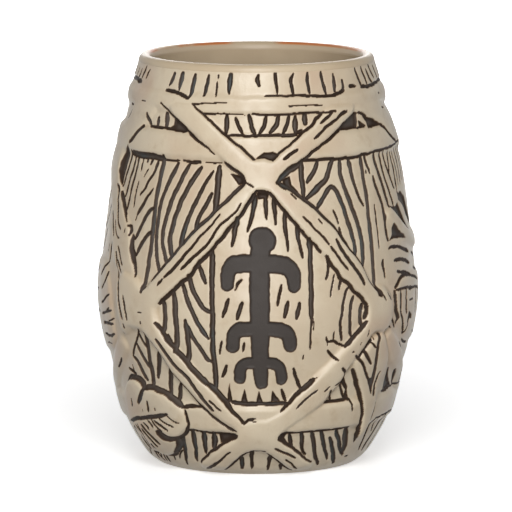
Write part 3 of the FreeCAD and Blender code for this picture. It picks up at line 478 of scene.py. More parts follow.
def raised_shapes():
    """Raised pads of the front half, the lowest first: (rise, CAD node, outlines)."""
    return [
        (BOSS_RISE, "left_boss", [
            fill(-90, 62, -82, 62, -75, 62.5, -70.5, 61, -66.5, 54, -65, 47, -65.5, 40, -70, 36, -80, 34.5,
                -90, 34),
        ]),
        (BOSS_RISE, "right_boss", [
            fill(90, 58.2, 80, 58.2, 70, 59.2, 63.5, 58.3, 59.5, 56.2, 59, 52, 61.8, 46.5, 68.5, 41, 78, 38.5,
                90, 37.6),
        ]),
        (LEFT_RISE, "left_top_lashing", [
            fill(-47, 112.5, -57.2, 105, -63, 100.5, -65, 99.8, -70, 97, -72, 94, -90, 92, -90, 102,
                -83, 103.5, -76, 106, -71.5, 109, -70, 112.5),
            fill(-72, 94, -71, 92, -67, 86.7, -63.5, 83.5, -60, 79, -56, 75, -54.5, 71, -51.5, 64, -49, 60.5,
                -57, 60, -61, 61, -66, 64, -69.5, 69, -71.5, 75, -76, 82, -82, 87, -90, 89, -90, 96),
        ]),
        (LEFT_RISE, "left_bottom_lashing", [
            fill(-61, 42, -66, 38, -72, 34, -79, 30, -90, 25, -90, 15, -80, 22, -70, 28.5, -62, 33.5,
                -56, 38),
        ]),
        (RIGHT_RISE, "right_top_lashing", [
            fill(42, 112.5, 50.3, 109.3, 53, 108.8, 60, 107, 66, 105, 70, 102, 74, 100, 80, 97.8, 90, 96,
                90, 106, 80, 108, 70, 112.5),
            fill(56.5, 78, 61, 80.3, 66, 77.6, 70, 75, 76, 72.4, 83, 70.3, 90, 69.3, 90, 65, 80, 67.3,
                72, 69.8, 66, 71.8, 61, 75),
        ]),
        (RIGHT_RISE, "right_bottom_lashing", [
            fill(57.5, 44.5, 62, 41.2, 69, 36.7, 75, 32.8, 90, 25, 90, 16, 80, 22, 72, 27.5, 60, 34,
                53.5, 42),
        ]),
        (BAND_RISE, "front_top_lashing", [
            fill(8, 90.4, 12, 89, 15.5, 87, 19.2, 84.8, 24.5, 81, 28, 78.3, 31, 75.7, 36, 70, 38.5, 67.5,
                42, 64, 44, 60, 47.5, 56.3, 42.7, 52, 40, 55, 37, 57.2, 32, 61, 27.5, 66, 24, 69.5, 20, 73.2,
                16, 76.8, 12, 80.8, 8, 84.5, 4.3, 87.6),
            fill(-5, 90, -8, 88, -11, 85.5, -15, 82.8, -18, 80, -22, 77.3, -28, 72, -32, 68, -36, 64.5,
                -40.5, 60, -44.5, 56.8, -38.8, 52, -34, 55.5, -29.5, 59, -25, 62, -21.5, 66, -16.5, 70.7,
                -12, 75, -9, 78, -4, 83.3, -0.3, 88),
            fill(6.3, 97, 10, 99.5, 17, 103.2, 24, 107, 29.5, 110.3, 34, 112.5, 50, 112.5, 47, 109.6, 41, 107,
                36, 104.7, 30, 102, 24, 99.5, 20, 97.4, 12.5, 94, 7.6, 90.5, 2, 92),
            fill(-1, 97.2, -6, 100.7, -13, 104.2, -20, 108.3, -29.3, 113.1, -45, 112.5, -38, 108.8, -30, 105,
                -22, 101, -12.6, 96.2, -6, 93, -4.3, 90.5, 2, 92),
            fill(-1, 97.2, 2.5, 98, 6.3, 97, 7.6, 90.5, 8, 90.4, 4.3, 87.6, -0.3, 88, -5, 90, -4.3, 90.5),
        ]),
        (BAND_RISE, "front_right_node_lashing", [
            fill(40, 55, 42.7, 52, 42.5, 48, 42.7, 47.6, 47, 44, 53, 43, 57, 46, 57, 50, 56.5, 54, 52, 57,
                47.5, 56.8),
        ]),
        (BAND_RISE, "front_left_node_lashing", [
            fill(-38.8, 52, -38.5, 50, -38.8, 47.6, -42, 43.5, -47.8, 44.7, -52.6, 45, -55, 43, -58.3, 42.3,
                -59.5, 47, -61, 57.5, -57, 62, -49, 60.5, -44.5, 56.8, -40, 54),
        ]),
        (BAND_RISE, "front_bottom_lashing", [
            fill(-38.8, 47.6, -34, 42.8, -28, 37.5, -23, 32.7, -16, 27.5, -10.5, 22.3, -5, 17.8, -8.5, 15.3,
                -15, 18, -22, 22.4, -27, 26.5, -33.5, 32, -39, 39, -45, 44),
            fill(42.7, 47.6, 36.5, 42.5, 34, 40.4, 28, 35.5, 22.3, 30.7, 16.5, 27, 9.7, 21.4, 4, 19,
                9.5, 13.5, 14, 16, 22, 20, 28, 23.5, 34, 29, 35.5, 32, 40.7, 37, 47, 44),
            fill(9.2, 12.8, 14.5, 10.3, 19, 8, 28, 3.8, 30, 1.5, 18.5, 1.3, 12, 4.2, 4.8, 7.9, 4, 11),
            fill(-8, 13.5, -16, 10.3, -28.5, 3.8, -30, 1.5, -16.5, 1.5, -10, 5.2, -3, 8.5, -2, 12),
            fill(-8, 13.5, -8.5, 15.3, -5, 17.8, -3.5, 18.8, 0, 19.4, 4, 19.4, 9.7, 21.4, 9.5, 15, 9.2, 12.8,
                4.8, 7.9, 0, 8.8, -3, 8.5),
        ]),
        (MOTIF_RISE, "front_knot", [
            fill(37, 37.2, 40.7, 37, 46, 41.7, 49.5, 43.6, 53, 43.4, 58, 36, 58.2, 31.8, 56.3, 26, 56, 18.5,
                54.5, 14.3, 51, 8.7, 48.7, 13, 48.3, 17, 46, 23, 41.8, 29.5, 39, 33),
        ]),
        (MOTIF_RISE, "front_leaf", [
            fill(-68, 13, -66.5, 20, -65.5, 24.5, -61, 27.8, -55, 28.7, -50, 26.8, -44, 26.6, -38, 25.5,
                -35, 24, -30.5, 21.8, -29.2, 18.5, -30, 15, -34, 12.4, -36, 9.5, -41, 6, -46, 4.9, -53, 5.1,
                -57, 9, -62.5, 11.5),
        ]),
    ]


def node_tree(node):
    """A CAD node's surface, for rays."""
    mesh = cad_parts[node].data
    return BVHTree.FromPolygons([v.co for v in mesh.vertices], [p.vertices for p in mesh.polygons])


def ray_hit(tree, start, way):
    """Where a ray from a point in metres first meets a surface."""
    return tree.ray_cast(Vector(start), Vector(way))[0]


def wall_profile():
    """The plain outer wall's radius at each half mm of height, measured on the CAD body between its hoops."""
    tree = node_tree("vessel_body")
    bands = [[corner.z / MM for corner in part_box(node)] for node in HOOP_RISES]
    gap, outside = 0.3, 0.08
    heights, radii = [], []
    for height in np.arange(0.5, LIP_START, 0.5):
        if any(low - gap < height < high + gap for low, high in bands):
            continue
        best = 0.0
        for angle in np.radians(np.arange(0, 360, 7.5)):
            way = Vector((math.sin(angle), -math.cos(angle), 0))
            hit = ray_hit(tree, way * outside + Vector((0, 0, height * MM)), -way)
            best = max(best, hit.xy.length / MM if hit else 0.0)
        heights.append(height)
        radii.append(best)
    return np.array(heights), np.array(radii)


def chart_grid():
    """Rows of equal length up the wall: each row's height, radius, outward normal and mm per degree."""
    heights, radii = wall_profile()
    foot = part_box("vessel_body")[0].z / MM
    slope = (radii[1] - radii[0]) / (heights[1] - heights[0])
    heights = np.concatenate([[foot], heights, [LIP_START]])
    radii = np.concatenate([[radii[0] - slope * 0.5], radii, [radii[-1] - 0.05]])
    dense = np.linspace(foot, LIP_START, 2000)
    radius = np.interp(dense, heights, radii)
    reach = 20
    kernel = np.hanning(2 * reach + 1)
    kernel /= kernel.sum()
    below = 2 * radius[0] - radius[reach:0:-1]
    above = 2 * radius[-1] - radius[-2:-reach - 2:-1]
    radius = np.convolve(np.concatenate([below, radius, above]), kernel, "valid")
    length = np.concatenate([[0], np.cumsum(np.hypot(np.diff(dense), np.diff(radius)))])
    rows = np.linspace(0, length[-1], int(length[-1] / ROW_STEP) + 1)
    z = np.interp(rows, length, dense)
    r = np.interp(rows, length, radius)
    dr, dz = np.gradient(r), np.gradient(z)
    size = np.hypot(dr, dz)
    return {"s": rows, "z": z, "r": r, "nr": dz / size, "nz": -dr / size, "mm": r * math.pi / 180,
            "a": -SIDE + np.arange(COLUMNS) * 360 / COLUMNS}


def soft_noise(rng, chart, size):
    """Smooth random values from -1 to 1 all over the chart, in patches about size mm across, with no seam."""
    middling_radius = 45
    columns = round(2 * math.pi * middling_radius / size)
    rows = round(chart["s"][-1] / size) + 2
    grid = rng.uniform(-1, 1, (rows, columns))
    v = chart["s"] / size
    u = np.arange(COLUMNS) / COLUMNS * columns
    i, j = v.astype(int), u.astype(int)
    fv, fu = v - i, u - j
    fv = (fv * fv * (3 - 2 * fv))[:, None]
    fu = (fu * fu * (3 - 2 * fu))[None, :]
    i, j = i[:, None], j[None, :]
    k = (j + 1) % columns
    low = grid[i, j] * (1 - fu) + grid[i, k] * fu
    high = grid[i + 1, j] * (1 - fu) + grid[i + 1, k] * fu
    return low * (1 - fv) + high * fv


def blur(field, cells, times=2):
    """The field averaged over a square of cells each way, round the seam and held at the top and bottom."""
    span = 2 * cells + 1
    for _ in range(times):
        wide = np.concatenate([field[:, -cells:], field, field[:, :cells]], 1)
        total = np.cumsum(np.concatenate([np.zeros((len(field), 1)), wide], 1), 1)
        field = (total[:, span:] - total[:, :-span]) / span
        tall = np.concatenate([np.repeat(field[:1], cells, 0), field, np.repeat(field[-1:], cells, 0)])
        total = np.cumsum(np.concatenate([np.zeros((1, field.shape[1])), tall]), 0)
        field = (total[span:] - total[:-span]) / span
    return field


def ease(x):
    """0 below 0, 1 above 1, and a smooth step between."""
    x = np.clip(x, 0, 1)
    return x * x * (3 - 2 * x)


def lift(field, at, value):
    """Raises the field to a value where it is lower."""
    field[at] = np.maximum(field[at], value)


def steps_along(path):
    """The mm between each point of a path and the next."""
    return np.hypot(*((path[1:] - path[:-1]) * (MM_PER_DEGREE, 1)).T)


def smooth_path(points, step=0.55):
    """Points about every step mm along a smooth curve through the given ones."""
    p = np.array(points, float)
    gaps = steps_along(p)
    if len(p) == 2:
        return p[0] + (p[1] - p[0]) * np.linspace(0, 1, max(2, int(gaps[0] / step) + 1))[:, None]
    t = np.concatenate([[0], np.cumsum(np.sqrt(gaps))])
    slope = np.gradient(p, t, axis=0)
    out = [p[:1]]
    for i, gap in enumerate(gaps):
        x = np.linspace(0, 1, max(2, int(gap / step) + 1))[1:, None]
        d = t[i + 1] - t[i]
        out.append((2 * x**3 - 3 * x**2 + 1) * p[i] + (x**3 - 2 * x**2 + x) * d * slope[i]
                   + (3 * x**2 - 2 * x**3) * p[i + 1] + (x**3 - x**2) * d * slope[i + 1])
    return np.concatenate(out)


def window(chart, low, high, margin):
    """Index of the chart within margin mm of a box of (angle, height) corners, and its columns' angles."""
    rows = np.searchsorted(chart["z"], (low[1] - margin, high[1] + margin))
    rows = np.arange(max(rows[0] - 1, 0), min(rows[1] + 1, len(chart["z"])))
    reach = margin / chart["mm"][rows].min()
    first = math.floor((low[0] - reach + SIDE) * COLUMNS / 360)
    last = math.ceil((high[0] + reach + SIDE) * COLUMNS / 360)
    columns = np.arange(first, last + 1)
    return np.ix_(rows, columns % COLUMNS), (-SIDE + columns * 360 / COLUMNS)[None, :]


def nearness(chart, stroke, tip=LINE_TIP):
    """Yields indexes of the chart with the distance from a stroke's line over its half width, and its width.

    The stroke's ends narrow to the share tip of its width, and it is thinner on the mug's flanks."""
    path = smooth_path(stroke["points"])
    run = np.concatenate([[0], np.cumsum(steps_along(path))])
    width = np.interp(run, (0, run[-1]), stroke["widths"])
    end = np.minimum(run, run[-1] - run)
    half = WIDER * width / 2 * (tip + (1 - tip) * ease(end / (1.2 * width)))
    side = np.minimum(abs(path[:, 0]), abs(path[:, 0] - 2 * SIDE))
    half *= 1 - FLANK_THINNER * ease((side - FLANK_START) / 14) * ease((FLANK_TOP - path[:, 1]) / 8)
    height = np.interp(path[:, 1], chart["z"], chart["s"])
    for i in range(len(path) - 1):
        a, b = path[i], path[i + 1]
        margin = 1.3 * max(half[i], half[i + 1]) + 0.35
        at, angle = window(chart, np.minimum(a, b), np.maximum(a, b), margin)
        scale = chart["mm"][at[0]]
        x = (angle - a[0]) * scale + chart["shift_x"][at]
        y = chart["s"][at[0]] - height[i] + chart["shift_y"][at]
        dx, dy = (b[0] - a[0]) * scale, height[i + 1] - height[i]
        t = np.clip((x * dx + y * dy) / np.maximum(dx * dx + dy * dy, 1e-9), 0, 1)
        away = np.hypot(x - t * dx, y - t * dy)
        yield at, away / (half[i] + t * (half[i + 1] - half[i])), half[i] * 2


def outline_depth(chart, outline):
    """Index of the chart near an outline, with the mm inside it (negative outside)."""
    p = np.array(outline, float)
    margin = 1.0
    at, angle = window(chart, p.min(0), p.max(0), margin)
    scale = chart["mm"][at[0]]
    x = angle * scale + chart["shift_x"][at]
    y = chart["s"][at[0]] + chart["shift_y"][at]
    height = np.interp(p[:, 1], chart["z"], chart["s"])
    away = np.full(x.shape, 1e9)
    inside = np.zeros(x.shape, bool)
    for i in range(len(p)):
        j = (i + 1) % len(p)
        ax, bx, ay, by = p[i, 0] * scale, p[j, 0] * scale, height[i], height[j]
        dx, dy = bx - ax, by - ay
        t = np.clip(((x - ax) * dx + (y - ay) * dy) / np.maximum(dx * dx + dy * dy, 1e-9), 0, 1)
        away = np.minimum(away, np.hypot(x - ax - t * dx, y - ay - t * dy))
        if ay != by:
            inside ^= ((ay > y) != (by > y)) & (x < ax + (y - ay) * dx / dy)
    return at, np.where(inside, away, -away)


def mirrored(item):
    """The same stroke or outline on the back half."""
    turned = dict(item)
    for key in ("points", "outline"):
        if key in turned:
            turned[key] = tuple((2 * SIDE - a, z) for a, z in turned[key])
    return turned


def carve(chart, strokes):
    """Carves strokes and hollows on both halves: groove in mm, stain and greyer core from 0 to 1."""
    groove, stain, core = chart["groove"], chart["stain"], chart["core"]
    for stroke in strokes + [mirrored(stroke) for stroke in strokes]:
        if "outline" in stroke:
            at, depth = outline_depth(chart, stroke["outline"])
            lift(groove, at, HOLLOW_DEPTH * ease((depth + 0.25) / 0.8))
            lift(stain, at, ease((depth + 0.25) / 0.45))
            lift(core, at, 0.6 * ease((depth - 0.5) / 0.8))
            continue
        for at, near, width in nearness(chart, stroke):
            deep = min(0.45 * width + 0.15, DEEPEST_LINE)
            wide = ease((width - 0.95) / 0.6)
            lift(groove, at, deep * (1 - ease((near - 0.1) / 1.1)))
            lift(stain, at, 1 - ease((near - 0.7) / 0.5))
            lift(core, at, wide * (1 - ease((near - 0.15) / 0.5)))


def cover(chart, outline, mask, label, number):
    """Marks what lies inside an outline in a mask, and numbers it in the labels."""
    at, depth = outline_depth(chart, outline)
    lift(mask, at, depth > 0)
    label[at] = np.where(depth > 0, number, label[at])


def soft_pad(mask, rise, crown):
    """A raised pad in mm over a mask, with rounded edges and a slightly crowned top."""
    edge = ease((blur(mask, EDGE_CELLS) - 0.15) / 0.75)
    return rise * edge + crown * ease((blur(mask, CROWN_CELLS) - 0.3) / 0.7)


def shared_strokes():
    """All carved lines of the front half; the back half repeats them as a mirror copy."""
    groups = (collar_cuts, hoop_cuts, window_cuts, crossing_cuts, left_field_cuts, left_boss_cuts,
              right_field_cuts, right_boss_cuts, left_pocket_cuts, right_pocket_cuts, knot_cuts, leaf_cuts,
              foot_cuts, panel_cuts)
    return [stroke for group in groups for stroke in group()]


def turtle_parts():
    """The back's plain turtle as thick strokes and a shell about its middle."""
    low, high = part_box("back_turtle")
    middle = (low.z + high.z) / 2 / MM
    back = 2 * SIDE
    strokes = []
    for side in (-1, 1):
        strokes.append(cut((4.6, 3.0), back + 4 * side, middle + 6, back + 10 * side, middle + 11,
                           back + 12 * side, middle + 15))
        strokes.append(cut((4.2, 2.8), back + 4 * side, middle - 7, back + 9 * side, middle - 11,
                           back + 11 * side, middle - 15))
    strokes.append(cut((4.4, 5.6), back, middle + 8, back, middle + 16))
    strokes.append(cut((3.4, 1.6), back, middle - 8, back, middle - 17))
    turns = np.linspace(0, 2 * math.pi, 24)[:-1]
    shell = tuple((back + 9.2 * math.sin(t), middle + 9.5 * math.cos(t)) for t in turns)
    return strokes + [{"outline": shell}]


def inlay_depth(chart, parts):
    """How many mm each chart point is inside a shape made of thick strokes and outlines."""
    depth = np.full(chart["groove"].shape, -9.0)
    for part in parts:
        if "outline" in part:
            lift(depth, *outline_depth(chart, part["outline"]))
            continue
        for at, near, width in nearness(chart, part, 1.0):
            lift(depth, at, (1 - near) * width / 2)
    return depth


def round_outline(angle, height, radius, count=20):
    """A circle of a radius in mm on the chart, as an outline."""
    turns = np.arange(count) * 2 * math.pi / count
    wide = radius / MM_PER_DEGREE
    return {"outline": tuple((angle + wide * math.sin(t), height + radius * math.cos(t)) for t in turns)}


def raise_hoops(chart, names):
    """The hoops' relief in mm; also gives them their labels."""
    height = np.zeros(chart["label"].shape)
    for node, rise in HOOP_RISES.items():
        low, high = (np.interp(corner.z / MM, chart["z"], chart["s"]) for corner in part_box(node))
        depth = np.minimum(chart["s"] - low, high - chart["s"])[:, None] + chart["shift_y"]
        names.append(node)
        chart["label"][depth > 0] = len(names) - 1
        height = np.maximum(height, soft_pad((depth > 0) * 1.0, rise, HOOP_CROWN))
    return height


def raise_pads(chart, names):
    """The bands' and motifs' relief in mm; also gives them their labels."""
    height = np.zeros(chart["label"].shape)
    masks = {}
    for rise, node, outlines in raised_shapes():
        mask = masks.setdefault(rise, np.zeros(height.shape))
        for name, back in back_of(node):
            if name not in names:
                names.append(name)
            for item in outlines:
                item = mirrored(item) if back else item
                cover(chart, item["outline"], mask, chart["label"], names.index(name))
    for rise, mask in masks.items():
        height = np.maximum(height, soft_pad(mask, rise, CROWN_RISE * rise))
    return height


def shape_chart(chart):
    """The wall's relief in mm, its piece numbers and names, and its stain values."""
    rng = np.random.default_rng(SEED)
    for key in ("shift_x", "shift_y"):
        chart[key] = sum(far * soft_noise(rng, chart, size) for far, size in LINE_WOBBLES)
    shape = chart["shift_x"].shape
    for key in ("groove", "stain", "core"):
        chart[key] = np.zeros(shape)
    chart["label"] = np.zeros(shape, np.int16)
    names = [None]
    height = raise_hoops(chart, names)
    height = np.maximum(height, raise_pads(chart, names))
    carve(chart, shared_strokes())
    inlays = {"front_figure": figure_parts() + [round_outline(*FIGURE_HEAD)], "back_turtle": turtle_parts()}
    ink = np.full(shape, -9.0)
    for name, parts in inlays.items():
        depth = inlay_depth(chart, parts)
        names.append(name)
        chart["label"][depth > 0] = len(names) - 1
        ink = np.maximum(ink, depth)
    clear = 1 - ease((ink + 1.2) / 0.6)
    groove = np.maximum(chart["groove"] * clear, INLAY_DEPTH * ease((ink + 0.15) / 0.6))
    stain = np.maximum(chart["stain"] * clear, ease((0.55 - abs(ink - 0.1)) / 0.4))
    height = blur(height, 1)
    for deep, size in WALL_DENTS:
        height = height + deep * soft_noise(rng, chart, size)
    height = height - groove
    swell = ease((chart["z"] - SWELL_HEIGHTS[0]) / 10) * ease((SWELL_HEIGHTS[1] - chart["z"]) / 20)
    height += RIGHT_SWELL * swell[:, None] * ease(1.1 - abs(chart["a"] - SIDE) / 50)
    ends = ease(chart["s"] / FOOT_FADE) * ease((chart["s"][-1] - chart["s"]) / LIP_FADE)
    height *= ends[:, None]
    quarter = np.floor(((chart["a"] + CHART_TURN + 45) % 360) / 90).astype(int)
    label = np.where(chart["label"] == 0, len(names) + quarter[None, :], chart["label"])
    names += ["front_wall", "right_wall", "back_wall", "left_wall"]
    # crest: how far each point stands above or below its surroundings; the glaze paints raised points paler,
    # partly as a painted highlight.
    values = {"stain": stain, "slate": blur(chart["core"] * clear, 1, 1),
              "crest": np.clip((height - blur(height, 3)) / 0.35, -1, 1), "ink": ease((ink + 0.1) / 0.3)}
    return height, without_specks(label, len(names)), names, values


def without_specks(label, count):
    """The piece numbers with specks taken up by what surrounds them."""
    best = np.zeros(label.shape)
    clean = label.copy()
    for number in range(1, count):
        share = blur((label == number) * 1.0, 2)
        more = share > best
        clean[more] = number
        best[more] = share[more]
    return clean


def back_of(node):
    """The CAD nodes that an outline of the front half stands for: itself, and its mirror copy on the back."""
    if node.startswith("front"):
        return [(node, False), (node.replace("front", "back", 1), True)]
    return [(node, False), (node, True)]


def chart_points(chart, height):
    """Positions in metres, unit normals and the wall's plain outward directions of the whole chart."""
    angle = np.radians(chart["a"] + CHART_TURN)[None, :]
    nr, nz = chart["nr"][:, None], chart["nz"][:, None]
    r = chart["r"][:, None] + nr * height
    z = chart["z"][:, None] + nz * height
    points = np.stack([r * np.sin(angle), -r * np.cos(angle), z + 0 * angle], -1) * MM
    along = np.roll(points, -1, 1) - np.roll(points, 1, 1)
    up = np.gradient(points, axis=0)
    normals = np.cross(along, up)
    normals /= np.linalg.norm(normals, axis=-1, keepdims=True)
    outward = np.stack([nr * np.sin(angle), -nr * np.cos(angle), nz + 0 * angle], -1)
    return points, normals, outward


def grid_quads(rows, columns):
    """Quads between the rows of a grid of points, closed round its seam."""
    i, j = np.meshgrid(np.arange(rows - 1) * columns, np.arange(columns), indexing="ij")
    k = (j + 1) % columns
    return np.stack([i + j, i + k, i + columns + k, i + columns + j], -1).reshape(-1, 4)


def make_mesh(name, points, quads, normals=None, values=None):
    """A mesh object from arrays, with its own corner normals and point values."""
    mesh = bpy.data.meshes.new(name)
    mesh.vertices.add(len(points))
    mesh.vertices.foreach_set("co", np.ascontiguousarray(points, np.float32).ravel())
    mesh.loops.add(quads.size)
    mesh.loops.foreach_set("vertex_index", quads.astype(np.int32).ravel())
    mesh.polygons.add(len(quads))
    mesh.polygons.foreach_set("loop_start", np.arange(0, quads.size, 4, dtype=np.int32))
    mesh.update(calc_edges=True)
    mesh.polygons.foreach_set("use_smooth", np.ones(len(quads), bool))
    for key, data in (values or {}).items():
        layer = mesh.attributes.new(key, "FLOAT", "POINT")
        layer.data.foreach_set("value", np.ascontiguousarray(data, np.float32))
    if normals is not None:
        mesh.normals_split_custom_set(normals.reshape(-1, 3).tolist())
    mesh.update()
    thing = bpy.data.objects.new(name, mesh)
    bpy.context.scene.collection.objects.link(thing)
    return thing


RIM_DEPTH = 1.6


def open_edges(quads, total):
    """The edges that only one of the quads has, among total points."""
    edges = np.stack([quads, np.roll(quads, -1, 1)], -1).reshape(-1, 2)
    key = np.sort(edges, 1)
    key = key[:, 0].astype(np.int64) * total + key[:, 1]
    _, where, count = np.unique(key, return_index=True, return_counts=True)
    return edges[where[count == 1]]


def chart_pieces(chart):
    """One mesh for each piece of the outer wall, each with a rim turned inwards round its edge."""
    height, label, names, values = shape_chart(chart)
    points, normals, outward = (field.reshape(-1, 3) for field in chart_points(chart, height))
    inward = outward * -RIM_DEPTH * MM
    total = height.size
    quads = grid_quads(*height.shape)
    owner = label[:-1].reshape(-1)
    pieces = {}
    for number, name in enumerate(names):
        mine = quads[owner == number]
        if name is None or not len(mine):
            continue
        rim = open_edges(mine, total)
        used, index = np.unique(mine, return_inverse=True)
        faces = index.reshape(-1, 4)
        on_rim = np.unique(rim)
        inner_of = np.full(total, -1)
        inner_of[on_rim] = len(used) + np.arange(len(on_rim))
        outer_of = np.full(total, -1)
        outer_of[used] = np.arange(len(used))
        near, far = rim.T
        skirt = np.stack([outer_of[far], outer_of[near], inner_of[near], inner_of[far]], 1)
        places = np.concatenate([points[used], points[on_rim] + inward[on_rim]])
        corners = places[skirt]
        side = np.cross(corners[:, 1] - corners[:, 0], corners[:, 3] - corners[:, 0])
        side /= np.linalg.norm(side, axis=1, keepdims=True) + 1e-12
        corner_normals = np.concatenate([normals[used][faces], np.repeat(side[:, None], 4, 1)])
        kept = np.concatenate([used, on_rim])
        data = {key: field.reshape(-1)[kept] for key, field in values.items()}
        pieces[name] = make_mesh(name, places, np.concatenate([faces, skirt]), corner_normals, data)
    return pieces


def lathe(name, profile, columns=360, values=None):
    """A turned piece from an open (radius, height) profile in mm, round the z axis."""
    turns = np.arange(columns) * 2 * math.pi / columns
    r, z = np.array(profile, float).T[:, :, None]
    points = np.stack([r * np.sin(turns), -r * np.cos(turns), z + 0 * turns], -1).reshape(-1, 3) * MM
    return make_mesh(name, points, grid_quads(len(profile), columns), None, values)


def lip_piece(chart):
    """The rounded lip from the top of the wall over to the liner."""
    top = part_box("lip_glaze")[1].z / MM
    outer = chart["r"][-1]
    inner = ray_hit(node_tree("liner_glaze"), (0, 0, (LIP_START - 0.4) * MM), (1, 0, 0)).x / MM
    middle, half = (outer + inner) / 2, (outer - inner) / 2
    profile = [(outer - 0.9, LIP_START - 1.0), (outer - 0.05, LIP_START - 0.1)]
    for turn in np.radians(np.arange(4, 171, 8)):
        profile.append((middle + half * math.cos(turn), LIP_START + (top - LIP_START) * math.sin(turn)))
    profile += [(inner - 0.2, LIP_START + 0.2), (inner + 0.3, LIP_START - 1.2)]
    over = np.linspace(0, 1, len(profile))[:, None]
    angle = np.arange(COLUMNS)[None, :] * 360 / COLUMNS
    return lathe("lip_glaze", profile, COLUMNS, lip_values(over, angle))


def lip_values(over, angle):
    """Rust, shade and a painted shadow line on the lip, from how far over it (0 outside, 1 inside) and the
    angle.
    """
    from_back = abs(angle - 180)
    # The rust is left out about the back middle, so the paler glaze there stands as a painted highlight.
    rust = ease(1.5 - abs(over - 0.69) / 0.09) * ease((from_back - 9) / 8)
    shade = ease((over - 0.77) / 0.05) + 0 * angle
    # line: a painted shadow line along the outer top edge of the lip, only about the back.
    line = ease(1 - abs(over - 0.47) / 0.05) * ease(1 - from_back / 50)
    return {"rust": rust.ravel(), "shade": shade.ravel(), "line": line.ravel()}


def liner_piece():
    """The glazed inside, down to its floor."""
    tree = node_tree("liner_glaze")
    floor = ray_hit(tree, (0, 0, 0.1), (0, 0, -1)).z / MM
    wall = np.linspace(LIP_START - 0.4, floor + 8, 40)
    bend = np.linspace(floor + 7, floor + 0.4, 14)
    profile = []
    for height in np.concatenate([wall, bend]):
        profile.append((ray_hit(tree, (0, 0, height * MM), (1, 0, 0)).x / MM, height))
    edge = profile[-1][0]
    for share in (0.92, 0.8, 0.6, 0.4, 0.2, 0.0001):
        profile.append((edge * share, floor + 0.3 * share))
    return lathe("liner_glaze", profile)


def foot_piece(chart):
    """The unglazed foot ring and the recessed underside."""
    tree = node_tree("vessel_body")
    recess = ray_hit(tree, (0.001, 0, -0.01), (0, 0, 1)).z / MM
    outer = chart["r"][0]
    inner = ray_hit(tree, (0, 0, recess * MM / 2), (1, 0, 0)).x / MM
    profile = [(0.001, recess), (inner * 0.5, recess), (inner - 1.2, recess), (inner - 0.4, recess - 0.3),
               (inner, 0.5), (inner + 0.3, 0.15), (inner + 0.8, 0), (outer - 0.8, 0), (outer - 0.25, 0.02),
               (outer, 0.05), (outer - 0.4, 0.9)]
    return lathe("foot_underside", profile)


def srgb(red, green, blue):
    """A screen colour from 0 to 255 as linear red, green, blue and alpha."""
    def line(value):
        value /= 255
        return value / 12.92 if value <= 0.04045 else ((value + 0.055) / 1.055) ** 2.4
    return (line(red), line(green), line(blue), 1.0)


class Nodes:
    """Short calls that add nodes to one material."""

    def __init__(self, name):
        self.material = bpy.data.materials.new(name)
        self.material.use_nodes = True
        self.tree = self.material.node_tree
        self.shader = self.tree.nodes["Principled BSDF"]

    def add(self, kind, **settings):
        node = self.tree.nodes.new("ShaderNode" + kind)
        for key, value in settings.items():
            setattr(node, key, value)
        return node

    def put(self, socket, value):
        if isinstance(value, bpy.types.NodeSocket):
            self.tree.links.new(value, socket)
        else:
            socket.default_value = value

    def where(self):
        return self.add("TexCoord").outputs["Object"]

    def noise(self, size, detail=2.0, roughness=0.5, shift=0.0, stretch=(1, 1, 1)):
        mapping = self.add("Mapping")
        self.put(mapping.inputs["Vector"], self.where())
        mapping.inputs["Location"].default_value = (shift, shift * 0.7, -shift)
        mapping.inputs["Scale"].default_value = stretch
        texture = self.add("TexNoise")
        self.put(texture.inputs["Vector"], mapping.outputs["Vector"])
        texture.inputs["Scale"].default_value = 1 / size
        texture.inputs["Detail"].default_value = detail
        texture.inputs["Roughness"].default_value = roughness
        return texture.outputs["Fac"]

    def value(self, name):
        return self.add("Attribute", attribute_name=name).outputs["Fac"]

    def steps(self, value, low, high, start=0.0, end=1.0):
        node = self.add("MapRange", interpolation_type="SMOOTHSTEP")
        self.put(node.inputs["Value"], value)
        for key, number in (("From Min", low), ("From Max", high), ("To Min", start), ("To Max", end)):
            self.put(node.inputs[key], number)
        return node.outputs["Result"]

    def math(self, kind, a, b=0.0):
        node = self.add("Math", operation=kind)
        self.put(node.inputs[0], a)
        self.put(node.inputs[1], b)
        return node.outputs["Value"]

    def mix(self, share, a, b):
        node = self.add("Mix", data_type="RGBA")
        self.put(node.inputs["Factor"], share)
        self.put(node.inputs[6], a)
        self.put(node.inputs[7], b)
        return node.outputs[2]

    def ramp(self, value, *stops):
        node = self.add("ValToRGB")
        self.put(node.inputs["Fac"], value)
        ramp = node.color_ramp
        while len(ramp.elements) < len(stops):
            ramp.elements.new(0.5)
        for element, (place, colour) in zip(ramp.elements, stops):
            element.position = place
            element.color = colour
        return node.outputs["Color"]

    def bump(self, value, depth):
        node = self.add("Bump")
        node.inputs["Distance"].default_value = depth
        self.put(node.inputs["Height"], value)
        self.put(self.shader.inputs["Normal"], node.outputs["Normal"])

    def finish(self, colour, roughness, specular=0.5):
        self.put(self.shader.inputs["Base Color"], colour)
        self.put(self.shader.inputs["Roughness"], roughness)
        self.put(self.shader.inputs["Specular IOR Level"], specular)
        return self.material


CREAM = srgb(207, 188, 160)
PALE = srgb(217, 201, 174)
SAND = srgb(190, 167, 134)
PINK = srgb(200, 168, 142)
BROWN = srgb(112, 84, 56)
BLACK = srgb(48, 34, 23)
GREY = srgb(94, 84, 76)
SLATE = srgb(84, 90, 90)
INK = srgb(66, 60, 56)
RUST = srgb(204, 118, 58)
LINER_DARK = srgb(198, 178, 150)
LINER_PALE = srgb(211, 192, 163)


